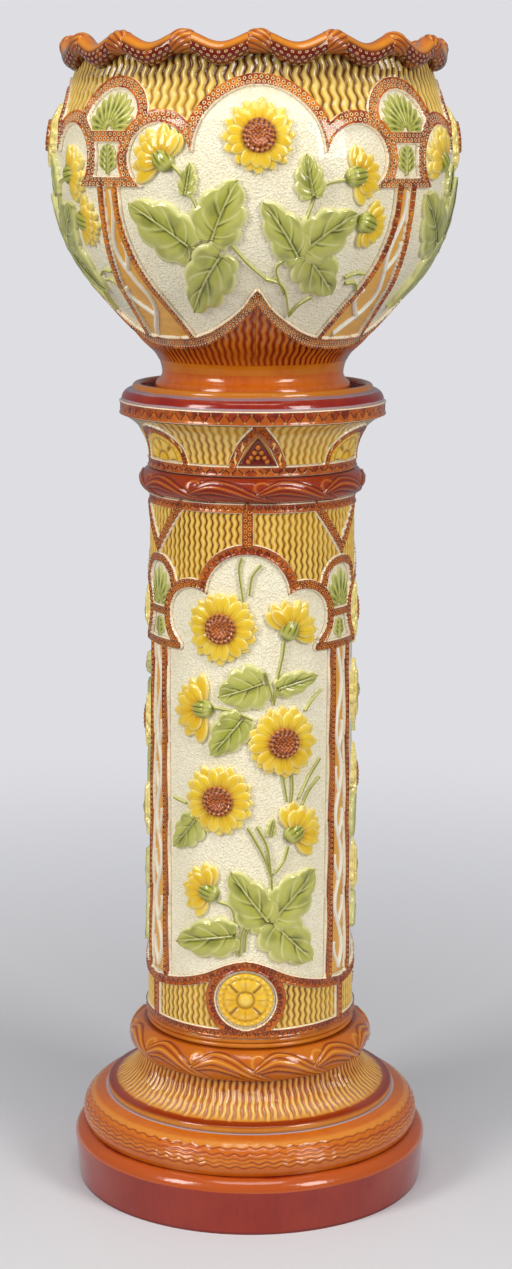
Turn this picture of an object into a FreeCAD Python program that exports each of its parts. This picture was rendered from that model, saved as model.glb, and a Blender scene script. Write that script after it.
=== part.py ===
import FreeCAD, Part
import math
import os

# A two-piece glazed earthenware planter: a footed bowl (the jardiniere) standing loose on a
# tall columnar stand.  Millimetres, +Z up, origin at the centre of the plinth's underside,
# front towards -Y.  Bearings run from the front, positive towards +X.

# stand, from the floor up: heights of the cast sections and their outer radii
plinth_height = 55.0
plinth_foot_radius = 172.5
plinth_top_radius = 176.7
plinth_shoulder = 12.0
torus_height = 35.0
torus_radius = 166.5
torus_top_radius = 146.0
base_lip_height = 7.0
base_lip_radius = 143.5
flare_height = 33.0
flare_foot_radius = 140.5
flare_top_radius = 108.0
base_rope_height = 31.0
base_rope_radius = 120.0
base_rope_top_radius = 104.7
shaft_foot_height = 10.4
shaft_foot_radius = 103.5
shaft_height = 522.6
shaft_low_radius = 101.0
shaft_top_radius = 97.5
capital_rope_height = 24.4
capital_rope_radius = 108.5
neck_height = 10.6
neck_radius = 99.0
cove_height = 39.9
cove_top_radius = 125.0
plate_edge_height = 13.7
plate_radius = 126.5
ovolo_height = 10.9
ovolo_top_radius = 118.0
seat_lip_height = 5.5
seat_lip_radius = 116.0
seat_recess_radius = 108.0
seat_recess_depth = 8.0
seat_floor_thickness = 12.0
base_wall = 18.0
shaft_wall = 12.0

# jardiniere: heights above its own foot's top, outer radii and walls
foot_height = 21.0
foot_radius = 94.0
foot_bore_radius = 70.0
waist_radius = 87.5
skirt_height = 20.0
skirt_radius = 98.0
side_height = 82.0
side_radius = 152.0
swell_height = 150.0
swell_radius = 184.5
belly_radius = 189.0
shoulder_height = 232.0
shoulder_radius = 185.5
bowl_height = 284.0
neck_opening_radius = 165.0
bowl_wall = 10.0
bowl_floor_thickness = 12.0
rim_waves = 16
rim_wave_rise = 10.0
rim_overhang = 16.5
rim_height = 21.0
twist_angle = 4.6
twist_swell = 1.6

# how far each kind of relief stands out of the wall under it
strap_relief = 4.0
capital_strap_relief = 3.0
band_relief = 2.4
leaf_relief = 4.5
stem_relief = 3.0
petal_relief = 6.5
disc_relief = 9.0
calyx_relief = 8.0
palmette_relief = 3.0
scroll_relief = 3.0
rosette_relief = 5.0
half_rosette_relief = 2.5

# ornament sizes
shaft_panels = 3
shaft_turn = -2.4
bowl_panels = 4
bowl_turn = 1.5
capital_turn = 2.9
petal_count = 16
shaft_flower_radius = 35.5
bowl_flower_radius = 32.0
disc_radius = 15.0
side_flower_radius = 30.0
calyx_radius = 10.0
stem_width = 3.4
bud_length = 16.0
shaft_palmette_radius = 15.0
bowl_palmette_radius = 15.0
scroll_width = 4.4
shaft_scroll_turns = 6
bowl_scroll_turns = 3
rosette_radius = 26.5
rosette_margin = 2.5
seed_radius = 2.2

# levels worked out from the heights
torus_top = plinth_height + torus_height
base_lip_top = torus_top + base_lip_height
flare_top = base_lip_top + flare_height
base_rope_top = flare_top + base_rope_height
shaft_foot_top = base_rope_top + shaft_foot_height
shaft_top = shaft_foot_top + shaft_height
capital_rope_top = shaft_top + capital_rope_height
neck_top = capital_rope_top + neck_height
cove_top = neck_top + cove_height
plate_edge_top = cove_top + plate_edge_height
ovolo_top = plate_edge_top + ovolo_height
seat_lip_top = ovolo_top + seat_lip_height
seat_level = seat_lip_top - seat_recess_depth
foot_top = seat_level + foot_height
bowl_top = foot_top + bowl_height

# the hollow inside the stand narrows from section to section
hollow_radius = shaft_top_radius - shaft_wall
torus_hollow_radius = base_lip_radius - base_wall
plinth_hollow_radius = torus_radius - base_wall
flare_hollow_radius = flare_top_radius - base_wall
capital_hollow_radius = cove_top_radius - base_wall


def closed_wire(place, start, steps):
    # a step is a point, reached by a straight side, or a (via, end) pair, reached by an arc
    edges = []
    here = start
    for step in steps:
        if isinstance(step[0], tuple):
            via, end = step
            edges.append(Part.Arc(place(here), place(via), place(end)).toShape())
        else:
            end = step
            edges.append(Part.LineSegment(place(here), place(end)).toShape())
        here = end
    if place(here).distanceToPoint(place(start)) > 1e-6:
        edges.append(Part.LineSegment(place(here), place(start)).toShape())
    return Part.Wire(edges)


def turned(start, *steps):
    # a ring or disc turned about the vertical axis from an outline of (radius, height) points
    wire = closed_wire(lambda point: FreeCAD.Vector(point[0], 0, point[1]), start, steps)
    return Part.Face(wire).revolve(FreeCAD.Vector(0, 0, 0), FreeCAD.Vector(0, 0, 1), 360)


def rotated(shape, bearing):
    copy = shape.copy()
    copy.rotate(FreeCAD.Vector(0, 0, 0), FreeCAD.Vector(0, 0, 1), bearing)
    return copy


def around(shape, count, turn):
    return [rotated(shape, turn + 360.0 * step / count) for step in range(count)]


def joined(shapes):
    return shapes[0].multiFuse(shapes[1:]) if len(shapes) > 1 else shapes[0]


def raised(skin, stamps, above=(), fields=()):
    # the part of a skin that the stamps reach, less what stands on it from the kinds above and
    # kept within its fields between the straps
    pieces = []
    for stamp in stamps:
        piece = skin.common(stamp)
        crossing = [other for other in above if other.BoundBox.intersect(piece.BoundBox)]
        pieces.append(piece.cut(crossing) if crossing else piece)
    return joined(pieces).common(joined(fields)) if fields else joined(pieces)


def save(name, *shapes):
    solids = [solid for shape in shapes for solid in shape.Solids]
    Part.Compound(solids).exportStep("parts/" + name + ".step")
    volume = sum(solid.Volume for solid in solids) / 1000
    print(name, len(solids), "solids,", round(volume, 1), "cm3")


def numbers(step):
    return step[0] + step[1] if isinstance(step[0], tuple) else step


def mirrored(start, *steps):
    # the same outline on the other side of the panel's middle line
    def flip(step):
        return tuple(flip(point) for point in step) if isinstance(step[0], tuple) else (-step[0], step[1])

    return [flip(start)] + [flip(step) for step in steps]


# outlines in millimetres, first across and then up, about the ornament's own middle or stalk

def polar(distance, bearing):
    return distance * math.cos(math.radians(bearing)), distance * math.sin(math.radians(bearing))


def petals(radius, count, first, last):
    # blunt-pointed petals from notch to notch between two bearings
    step = (last - first) / count
    notch = 0.8 * radius
    shoulder = 0.94 * radius
    points = [polar(notch, first)]
    for petal in range(count):
        bearing = first + (petal + 0.5) * step
        points += [polar(shoulder, bearing - 0.28 * step), polar(radius, bearing),
                   polar(shoulder, bearing + 0.28 * step)]
        if petal < count - 1 or last - first < 360.0:
            points.append(polar(notch, bearing + 0.5 * step))
    return points


def fan(radius, count, spread):
    # petals to both sides of the ornament's own bearing, closed at the stalk
    return [(0.0, 0.0)] + petals(radius, count, -spread, spread)


def disc(radius):
    return [(-radius, 0.0), ((0.0, radius), (radius, 0.0)), ((0.0, -radius), (-radius, 0.0))]


def leaf(length, width):
    # a heart-shaped leaf from its notch at the stalk to its tip
    half = width / 2
    notch = (0.08 * half, 0.0)
    shoulder = (0.22 * half, 0.86 * half)
    lobe = (-0.2 * half, 0.42 * half)
    side = (0.56 * length, 0.8 * half)
    return [notch, (lobe, shoulder), (side, (length, 0.0)),
            ((side[0], -side[1]), (shoulder[0], -shoulder[1])), ((lobe[0], -lobe[1]), notch)]


def cup(radius):
    # a calyx from its stalk to its two outer points
    rim = 0.45 * radius
    return [(-radius, 0.0), ((-0.1 * radius, 0.9 * radius), (radius, rim)), (0.5 * radius, 0.0),
            (radius, -rim), ((-0.1 * radius, -0.9 * radius), (-radius, 0.0))]


def ribbon(first, middle, last, width):
    # a strip of even width along the arc through three points
    def beside(point, start, end, offset):
        run = (end[0] - start[0], end[1] - start[1])
        length = math.hypot(*run)
        return point[0] - offset * run[1] / length, point[1] + offset * run[0] / length

    def side(offset):
        return [beside(first, first, middle, offset), beside(middle, first, last, offset),
                beside(last, middle, last, offset)]

    left = side(width / 2)
    right = side(-width / 2)
    return [left[0], (left[1], left[2]), right[2], (right[1], right[0])]


class Wall:
    # A turned surface that carries relief, divided into equal panels round the axis.  A place on
    # it is a pair: across from -1 to 1 between the panel's two edges, up from 0 to 1.
    def __init__(self, radii, panels, turn):
        self.radii = radii
        self.panels = panels
        self.turn = turn
        self.foot = radii[0][1]
        self.height = radii[-1][1] - radii[0][1]
        self.widest = max(radius for radius, level in radii)

    def bearing(self, across):
        return across * 180.0 / self.panels

    def level(self, up):
        return self.foot + up * self.height

    def radius(self, level):
        # between the outline's points the radius is taken as straight
        for (low_radius, low), (high_radius, high) in zip(self.radii, self.radii[1:]):
            if level <= high:
                return low_radius + (high_radius - low_radius) * (level - low) / (high - low)
        return self.radii[-1][0]

    def facing(self, middle, point):
        # millimetres across and up from a middle place, seen square on from outside
        level = self.level(point[1])
        swing = math.radians(self.bearing(point[0]) - self.bearing(middle[0]))
        return self.radius(level) * math.sin(swing), level - self.level(middle[1])

    def stamp(self, middle, outline, lean=0.0, depth=0.78):
        # a prism through the wall, its outline in millimetres about a middle place
        level = self.level(middle[1])
        tilt = math.radians(lean)
        reach = max(abs(number) for step in outline for number in numbers(step))
        radii = [self.radius(level + reach * share) for share in (-1.0, -0.5, 0.0, 0.5, 1.0)]
        near = depth * min(radii)
        far = self.widest + disc_relief + strap_relief

        def place(point):
            across = point[0] * math.cos(tilt) - point[1] * math.sin(tilt)
            up = point[0] * math.sin(tilt) + point[1] * math.cos(tilt)
            return FreeCAD.Vector(across, -near, level + up)

        face = Part.Face(closed_wire(place, outline[0], outline[1:]))
        return rotated(face.extrude(FreeCAD.Vector(0, near - far, 0)), self.bearing(middle[0]))

    def window(self, across, start, *steps):
        # a prism whose outline is given in places on the wall, facing one bearing
        middle = (across, 0.0)

        def flat(step):
            if isinstance(step[0], tuple):
                return tuple(self.facing(middle, point) for point in step)
            return self.facing(middle, step)

        return self.stamp(middle, [flat(start)] + [flat(step) for step in steps], depth=0.5)

    def pair(self, across, *outline):
        # the same window on both sides of the panel's middle line
        return [self.window(across, *outline), self.window(-across, *mirrored(*outline))]

    def all_round(self, shape):
        return around(shape, self.panels, self.turn)


# the three walls: their outlines from the foot up as (radius, level), then as solid skins

def shaft_skin(relief):
    return turned((shaft_low_radius, shaft_foot_top), (shaft_low_radius + relief, shaft_foot_top),
                  (shaft_top_radius + relief, shaft_top), (shaft_top_radius, shaft_top))


def bowl_points(relief):
    # the bowl's outside from waist to neck: ends of arcs and the points that they pass through
    mid_skirt = (waist_radius + 0.26 * (skirt_radius - waist_radius), 0.48 * skirt_height)
    mid_side = (0.5 * (skirt_radius + side_radius) - 1.0, 0.5 * (skirt_height + side_height))
    mid_swell = (side_radius + 0.66 * (swell_radius - side_radius), 0.5 * (side_height + swell_height))
    mid_belly = (belly_radius, 0.5 * (swell_height + shoulder_height))
    mid_neck = (neck_opening_radius + 0.42 * (shoulder_radius - neck_opening_radius),
                0.5 * (shoulder_height + bowl_height))
    points = [(waist_radius, 0.0), mid_skirt, (skirt_radius, skirt_height), mid_side,
              (side_radius, side_height), mid_swell, (swell_radius, swell_height), mid_belly,
              (shoulder_radius, shoulder_height), mid_neck, (neck_opening_radius, bowl_height)]
    return [(radius + relief, foot_top + height) for radius, height in points]


def arcs_through(points):
    return [(points[index], points[index + 1]) for index in range(1, len(points) - 1, 2)]


def bowl_skin(relief):
    outside = bowl_points(relief)
    inside = bowl_points(0.0)[::-1]
    return turned(outside[0], *arcs_through(outside), inside[0], *arcs_through(inside))


def cove_points(relief):
    mid_cove = (neck_radius + 0.3 * (cove_top_radius - neck_radius), neck_top + 0.62 * cove_height)
    points = [(neck_radius, neck_top), mid_cove, (cove_top_radius, cove_top)]
    return [(radius + relief, level) for radius, level in points]


def cove_skin(relief):
    outside = cove_points(relief)
    inside = cove_points(0.0)[::-1]
    return turned(outside[0], *arcs_through(outside), inside[0], *arcs_through(inside))


shaft = Wall([(shaft_low_radius, shaft_foot_top), (shaft_top_radius, shaft_top)], shaft_panels, shaft_turn)
bowl = Wall(bowl_points(0.0), bowl_panels, bowl_turn)
cove = Wall(cove_points(0.0), shaft_panels, capital_turn)


# the sprays of sunflowers: places on the panel, bearings in degrees from the right towards the
# top, and each leaf's length and width in millimetres

shaft_spray = {
    "flowers": [(-0.239, 0.772), (0.334, 0.561), (-0.258, 0.452)],
    "side_flowers": [((0.392, 0.768), 62), ((-0.411, 0.621), 178), ((0.442, 0.389), 35),
                     ((-0.344, 0.277), 160)],
    "leaves": [((0.134, 0.673), 202, 44, 42), ((0.296, 0.663), 14, 41, 22), ((-0.048, 0.604), 233, 46, 34),
               ((-0.478, 0.411), 233, 40, 30), ((-0.124, 0.198), 195, 61, 38),
               ((0.191, 0.227), 127, 60, 40),
               ((0.248, 0.231), 44, 62, 44), ((0.258, 0.221), -50, 57, 46)],
    "buds": [((0.22, 0.39), 80)],
    "stems": [((0.344, 0.749), (0.325, 0.721), (0.291, 0.691)),
              ((0.291, 0.691), (0.267, 0.663), (0.248, 0.632)),
              ((0.167, 0.692), (0.21, 0.661), (0.248, 0.632)),
              ((-0.306, 0.625), (-0.115, 0.619), (0.053, 0.605)),
              ((0.331, 0.499), (0.353, 0.472), (0.372, 0.45)),
              ((0.42, 0.499), (0.425, 0.472), (0.411, 0.443)),
              ((0.721, 0.524), (0.592, 0.491), (0.487, 0.453)),
              ((0.713, 0.489), (0.602, 0.468), (0.522, 0.441)),
              ((0.554, 0.617), (0.63, 0.636), (0.735, 0.652)),
              ((0.387, 0.365), (0.344, 0.338), (0.248, 0.313)),
              ((0.012, 0.403), (0.143, 0.355), (0.229, 0.309)),
              ((0.096, 0.405), (0.191, 0.365), (0.234, 0.3)),
              ((-0.258, 0.261), (-0.124, 0.248), (-0.083, 0.189)),
              ((-0.083, 0.227), (-0.096, 0.192), (-0.083, 0.16)),
              ((0.21, 0.221), (0.029, 0.21), (-0.01, 0.168)),
              ((0.019, 0.227), (-0.038, 0.2), (-0.051, 0.16)),
              ((-0.051, 0.901), (-0.074, 0.878), (-0.035, 0.823)),
              ((0.124, 0.889), (0.045, 0.868), (0.019, 0.833)),
              ((-0.745, 0.445), (-0.669, 0.442), (-0.592, 0.439)),
              ((0.229, 0.309), (0.239, 0.265), (0.248, 0.227))]}

bowl_spray = {
    "flowers": [(0.0, 0.768)],
    "side_flowers": [((-0.585, 0.693), 128), ((0.602, 0.648), 12), ((0.702, 0.504), -18)],
    "leaves": [((-0.289, 0.458), 68, 56, 46), ((-0.454, 0.437), 143, 66, 48),
               ((-0.248, 0.401), 230, 66, 46),
               ((0.255, 0.405), 123, 58, 34), ((0.303, 0.426), 38, 56, 44), ((0.317, 0.408), -46, 52, 42),
               ((0.323, 0.592), 104, 36, 26), ((-0.44, 0.595), 76, 27, 16)],
    "buds": [],
    "stems": [((-0.533, 0.683), (-0.465, 0.644), (-0.413, 0.585)),
              ((0.533, 0.636), (0.413, 0.623), (0.337, 0.581)),
              ((-0.465, 0.437), (-0.344, 0.415), (-0.189, 0.447)),
              ((-0.189, 0.447), (-0.069, 0.38), (0.052, 0.331)),
              ((0.052, 0.331), (0.186, 0.306), (0.282, 0.208)),
              ((0.224, 0.405), (0.124, 0.363), (0.2, 0.282)),
              ((0.43, 0.271), (0.344, 0.246), (0.286, 0.211)),
              ((0.647, 0.331), (0.723, 0.345), (0.809, 0.342)),
              ((0.671, 0.313), (0.757, 0.313), (0.819, 0.278)),
              ((-0.189, 0.447), (-0.33, 0.514), (-0.413, 0.585)),
              ((0.248, 0.415), (0.289, 0.504), (0.337, 0.581)),
              ((0.303, 0.433), (0.516, 0.504), (0.674, 0.496))]}


def make_spray(owner, wall, skin, spray, flower_radius, panel):
    # flowers lie over leaves and leaves over stems, so a lower kind stops where a higher one lies
    def stamped(kind, outline):
        return [wall.stamp(place, outline, lean) for place, lean in kind]

    def strip(ends):
        places = [wall.facing(ends[1], (end[0], end[1])) for end in ends]
        middle = places[1]
        around_middle = [(across - middle[0], up - middle[1]) for across, up in places]
        return wall.stamp(ends[1], ribbon(*around_middle, stem_width))

    whole_flowers = [(place, 0.0) for place in spray["flowers"]]
    discs = stamped(whole_flowers, disc(disc_radius))
    stars = stamped(whole_flowers, petals(flower_radius, petal_count, 0.0, 360.0))
    cups = stamped(spray["side_flowers"], cup(calyx_radius))
    fans = stamped(spray["side_flowers"], fan(side_flower_radius, 7, 80.0))
    leaves = [wall.stamp(place, leaf(length, width), lean)
              for place, lean, length, width in spray["leaves"]]
    strips = [strip(ends) for ends in spray["stems"]]
    strips += [wall.stamp(place, leaf(bud_length, 0.6 * bud_length), lean) for place, lean in spray["buds"]]

    layers = [("flower_centres", discs, disc_relief), ("sunflowers", stars, petal_relief),
              ("calyxes", cups, calyx_relief), ("side_flowers", fans, petal_relief),
              ("leaves", leaves, leaf_relief), ("stems", strips, stem_relief)]
    above = []
    for kind, stamps, relief in layers:
        save(owner + "_" + kind, *wall.all_round(raised(skin(relief), stamps, above, panel)))
        above += stamps


def shaft_windows():
    # what the straps leave open: the panel, the combed spandrels and the pilaster's fields
    middle = shaft.window(0.0, (-0.40, 0.12), ((-0.2, 0.137), (0.0, 0.152)), ((0.2, 0.137), (0.40, 0.12)),
                          (0.40, 0.83), (0.382, 0.83), ((0.0, 0.906), (-0.382, 0.83)), (-0.40, 0.83))
    sides = shaft.pair(0.6, (0.36, 0.123), ((0.58, 0.109), (0.788, 0.104)), (0.831, 0.724),
                       (0.64, 0.724), (0.64, 0.772), (0.36, 0.772))
    lobes = shaft.pair(0.535, (0.277, 0.79), ((0.535, 0.841), (0.793, 0.79)),
                       ((0.535, 0.738), (0.277, 0.79)))
    spandrels = shaft.pair(0.478, (0.053, 0.982), (0.611, 0.982), (0.907, 0.91),
                           ((0.817, 0.889), (0.688, 0.856)),
                           (0.478, 0.862), ((0.315, 0.905), (0.086, 0.926)), (0.053, 0.937))
    triangle = shaft.pair(1.0, (0.742, 0.982), (1.0, 0.924), (1.258, 0.982))
    upper = shaft.pair(1.0, (0.898, 0.801), ((0.823, 0.82), (0.798, 0.843)), ((0.857, 0.869), (1.0, 0.878)),
                       ((1.143, 0.869), (1.202, 0.843)), ((1.177, 0.82), (1.102, 0.801)))
    lower = shaft.pair(1.0, (0.909, 0.778), ((0.876, 0.757), (0.814, 0.74)), (1.186, 0.74),
                       ((1.124, 0.757), (1.091, 0.778)))
    scroll = shaft.pair(1.0, (0.933, 0.721), (1.067, 0.721), (1.113, 0.104), (0.887, 0.104))
    foot = shaft.pair(0.65, (0.325, 0.019), ((0.392, 0.064), (0.372, 0.098)), (0.573, 0.088), (0.95, 0.08),
                      (0.95, 0.019))
    ring = shaft.stamp((0.0, 0.075), disc(rosette_radius + rosette_margin))
    return {"panel": [middle] + sides + lobes, "combed": spandrels + foot + triangle, "ring": [ring],
            "palmettes": upper + lower, "scrolls": scroll}


def bowl_windows():
    middle = bowl.window(0.0, (-0.454, 0.15), ((-0.172, 0.213), (0.0, 0.306)),
                         ((0.172, 0.213), (0.454, 0.15)),
                         (0.454, 0.718), (0.396, 0.718), ((0.0, 0.921), (-0.396, 0.718)), (-0.454, 0.718))
    sides = bowl.pair(0.66, (0.413, 0.155), (0.668, 0.134), ((0.84, 0.327), (0.926, 0.606)), (0.413, 0.606))
    lobes = bowl.pair(0.626, (0.42, 0.701), ((0.626, 0.806), (0.833, 0.701)),
                      ((0.626, 0.595), (0.42, 0.701)))
    above = bowl.pair(0.5, (0.0, 0.96), ((0.334, 0.889), (0.406, 0.842)), ((0.564, 0.856), (0.716, 0.849)),
                      ((0.812, 0.923), (1.0, 0.958)), (1.0, 1.1), (0.0, 1.1))
    combed = bowl.pair(0.5, (0.0, 0.236), ((0.31, 0.146), (0.688, 0.099)), (1.0, 0.092), (1.0, -0.1),
                       (0.0, -0.1))
    scroll = bowl.pair(1.0, (0.952, 0.606), ((0.897, 0.363), (0.725, 0.139)), (1.275, 0.139),
                       ((1.103, 0.363), (1.048, 0.606)))
    upper = bowl.pair(1.0, (0.832, 0.787), ((0.794, 0.813), (0.797, 0.845)), ((0.862, 0.894), (1.0, 0.91)),
                      ((1.138, 0.894), (1.203, 0.845)), ((1.206, 0.813), (1.168, 0.787)))
    lower = bowl.pair(1.0, (0.849, 0.648), (1.151, 0.648), (1.151, 0.746), (0.849, 0.746))
    return {"panel": [middle] + sides + lobes, "combed": above + combed, "palmettes": upper + lower,
            "scrolls": scroll}


def sector(wall, skin):
    # one panel's share of a skin, from pilaster to pilaster
    half = wall.bearing(1.0)
    reach = 2 * wall.widest
    corner = (reach * math.sin(math.radians(half)), -reach * math.cos(math.radians(half)))
    ends = [(0.0, 0.0), corner, (0.0, -2 * reach), (-corner[0], corner[1]), (0.0, 0.0)]
    wedge = Part.Face(Part.makePolygon([FreeCAD.Vector(x, y, 0) for x, y in ends]))
    return skin.common(wedge.extrude(FreeCAD.Vector(0, 0, 2 * bowl_top)))


def make_straps(owner, wall, skin, windows):
    openings = [window for kind in windows.values() for window in kind]
    save(owner + "_strapwork", *wall.all_round(sector(wall, skin(strap_relief)).cut(openings)))


def make_palmettes(owner, wall, skin, places, radius, fields):
    # upright leaf fans on the pilasters, each with a short stalk under it
    stamps = []
    for place in places:
        stamps.append(wall.stamp(place, fan(radius, 9, 115.0), 90.0))
    save(owner + "_palmettes", *wall.all_round(raised(skin(palmette_relief), stamps, (), fields)))


def make_scrolls(owner, wall, skin, low, high, swing, turns, fields):
    # a vine that swings from side to side up the pilaster, a leaf at each turn
    step = (high - low) / turns
    stamps = []
    for turn in range(turns):
        side = 1 if turn % 2 else -1
        foot = low + turn * step
        middle = (1.0, foot + step / 2)
        reach = swing[0] + (swing[1] - swing[0]) * turn / turns
        ends = [(1.0, foot), (1.0 + side * reach, foot + step / 2), (1.0, foot + step)]
        stamps.append(wall.stamp(middle, ribbon(*[wall.facing(middle, end) for end in ends], scroll_width)))
        stamps.append(wall.stamp(middle, leaf(0.45 * step * wall.height, 2 * scroll_width),
                                 90.0 + side * 35.0))
    save(owner + "_scrolls", *wall.all_round(raised(skin(scroll_relief), stamps, (), fields)))


def make_base():
    shoulder = (plinth_top_radius - plinth_shoulder, plinth_height)
    low_shoulder = (plinth_top_radius, plinth_height - plinth_shoulder)
    bend = (plinth_top_radius - 0.3 * plinth_shoulder, plinth_height - 0.3 * plinth_shoulder)
    save("plinth", turned((plinth_hollow_radius, 0.0), (plinth_foot_radius, 0.0), low_shoulder,
                          (bend, shoulder), (plinth_hollow_radius, plinth_height)))
    save("base_torus", turned((torus_hollow_radius, plinth_height), (torus_radius - 1.5, plinth_height),
                              ((torus_radius - 2.5, plinth_height + 0.7 * torus_height),
                               (torus_top_radius, torus_top)), (torus_hollow_radius, torus_top)))
    flare_via = (flare_top_radius + 0.28 * (flare_foot_radius - flare_top_radius),
                 base_lip_top + 0.4 * flare_height)
    save("base_flare", turned((torus_hollow_radius, torus_top), (base_lip_radius - 1.0, torus_top),
                              ((base_lip_radius, torus_top + 0.5 * base_lip_height),
                               (base_lip_radius - 1.0, base_lip_top)),
                              (flare_foot_radius, base_lip_top), (flare_via, (flare_top_radius, flare_top)),
                              (flare_hollow_radius, flare_top)))
    save("base_rope_ring", turned((hollow_radius, flare_top), (flare_top_radius, flare_top),
                                  ((base_rope_radius, flare_top + 0.52 * base_rope_height),
                                   (base_rope_top_radius, base_rope_top)), (hollow_radius, base_rope_top)))


def make_shaft():
    # a tapering tube on a foot moulding of two small rounds
    half = shaft_foot_height / 2
    rounds = [((shaft_foot_radius, base_rope_top + step + half / 2),
               (shaft_low_radius, base_rope_top + step + half))
              for step in (0.0, half)]
    save("shaft_tube", turned((hollow_radius, base_rope_top), (shaft_low_radius, base_rope_top), *rounds,
                              (shaft_top_radius, shaft_top), (hollow_radius, shaft_top)))
    windows = shaft_windows()
    make_straps("shaft", shaft, shaft_skin, windows)
    make_palmettes("shaft", shaft, shaft_skin, [(1.0, 0.838), (1.0, 0.757)], shaft_palmette_radius,
                   windows["palmettes"])
    make_scrolls("shaft", shaft, shaft_skin, 0.115, 0.71, (0.055, 0.03), shaft_scroll_turns,
                 windows["scrolls"])
    flower = shaft.stamp((0.0, 0.075), petals(rosette_radius, 8, 0.0, 360.0))
    rosette = shaft_skin(rosette_relief).common(flower)
    save("shaft_rosettes", *shaft.all_round(rosette))
    make_spray("shaft", shaft, shaft_skin, shaft_spray, shaft_flower_radius, windows["panel"])


def make_capital():
    save("capital_rope_ring", turned((hollow_radius, shaft_top), (shaft_top_radius, shaft_top),
                                     ((capital_rope_radius, shaft_top + 0.45 * capital_rope_height),
                                      (neck_radius, capital_rope_top)), (hollow_radius, capital_rope_top)))
    save("capital_cove", turned((hollow_radius, capital_rope_top), (neck_radius, capital_rope_top),
                                cove_points(0.0)[0], *arcs_through(cove_points(0.0)),
                                (capital_hollow_radius, cove_top), (hollow_radius, neck_top)))
    neck_band = turned((neck_radius, capital_rope_top), (neck_radius + band_relief, capital_rope_top),
                       (neck_radius + band_relief, neck_top), (neck_radius, neck_top))
    triangle = cove.window(0.0, (-0.29, 0.0), ((-0.12, 0.4), (0.0, 0.9)), ((0.12, 0.4), (0.29, 0.0)))
    inner = cove.window(0.0, (-0.11, 0.1), (0.11, 0.1), (0.0, 0.5))
    arch = cove.window(1.0, (0.64, 0.0), ((0.77, 0.66), (1.0, 0.93)), ((1.23, 0.66), (1.36, 0.0)))
    field = cove.window(1.0, (0.72, 0.1), ((0.81, 0.54), (1.0, 0.74)), ((1.19, 0.54), (1.28, 0.1)))
    frames = cove_skin(capital_strap_relief).common(triangle.multiFuse([arch])).cut([inner, field])
    save("capital_strapwork", neck_band, *cove.all_round(frames))
    half_flower = cove_skin(half_rosette_relief).common(field)
    save("capital_half_rosettes", *cove.all_round(half_flower))
    places = [(-0.05, 0.17), (0.0, 0.17), (0.05, 0.17), (-0.025, 0.27), (0.025, 0.27), (0.0, 0.37)]
    seeds = raised(cove_skin(capital_strap_relief),
                   [cove.stamp(place, disc(seed_radius)) for place in places])
    save("capital_seeds", *cove.all_round(seeds))
    floor_underside = seat_level - seat_floor_thickness
    mid_ovolo = (0.5 * (plate_radius + ovolo_top_radius) + 2.0, plate_edge_top + 0.65 * ovolo_height)
    lip_round = 0.5 * (seat_lip_radius - seat_recess_radius)
    save("capital_plate", turned((0.0, floor_underside), (capital_hollow_radius, floor_underside),
                                 (capital_hollow_radius, cove_top), (plate_radius, cove_top),
                                 (plate_radius, plate_edge_top), (mid_ovolo, (ovolo_top_radius, ovolo_top)),
                                 (seat_lip_radius, ovolo_top), (seat_lip_radius, seat_lip_top - lip_round),
                                 ((seat_lip_radius - lip_round, seat_lip_top),
                                  (seat_recess_radius, seat_lip_top - lip_round)),
                                 (seat_recess_radius, seat_level), (0.0, seat_level)))
    save("capital_band", turned((plate_radius, cove_top), (plate_radius + band_relief, cove_top),
                                (plate_radius + band_relief, plate_edge_top),
                                (plate_radius, plate_edge_top)))


def make_bowl_shell():
    half = 0.5 * foot_height
    save("bowl_foot", turned((foot_bore_radius, seat_level), (foot_radius - 2.0, seat_level),
                             ((foot_radius, seat_level + 0.5 * half),
                              (foot_radius - 2.0, seat_level + half)),
                             ((waist_radius + 0.5, seat_level + 1.4 * half), (waist_radius, foot_top)),
                             (foot_bore_radius, foot_top)))
    # the wall keeps its thickness square to the surface, so it takes more of the radius low down
    thinning = [2.2, 1.6, 1.35, 1.2, 1.05, 1.0, 1.0, 1.0, 1.0]
    outside = bowl_points(0.0)
    lining = [(radius - share * bowl_wall, level) for (radius, level), share in zip(outside[2:], thinning)]
    floor_level = foot_top + bowl_floor_thickness
    save("bowl_body", turned((0.0, foot_top), outside[0], *arcs_through(outside), lining[-1],
                             *arcs_through(lining[::-1]), (lining[0][0], floor_level), (0.0, floor_level)))


def rim_section(bearing, swell):
    # the lip's outline at one bearing: it stands on the neck, waves up and down and overhangs it
    wave = 0.5 * rim_wave_rise * math.cos(math.radians(bearing * rim_waves))
    lining = neck_opening_radius - bowl_wall
    edge = neck_opening_radius + rim_overhang
    points = [(lining, 0.0), (neck_opening_radius, 0.0),
              (neck_opening_radius + 3.5, 0.1 * rim_height + 1.2 * wave - swell),
              (edge - 3.0, 0.33 * rim_height + wave - swell), (edge + swell, 0.6 * rim_height + wave),
              (edge - 2.5 + swell, 0.88 * rim_height + wave + swell),
              (edge - 9.0, rim_height + wave + swell),
              (neck_opening_radius - 1.0, 0.76 * rim_height + 0.8 * wave + swell),
              (lining + 1.5, 0.38 * rim_height)]
    vectors = [FreeCAD.Vector(0, -radius, bowl_top + height) for radius, height in points]
    wire = Part.makePolygon(vectors + vectors[:1])
    wire.rotate(FreeCAD.Vector(0, 0, 0), FreeCAD.Vector(0, 0, 1), bearing)
    return wire


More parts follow.
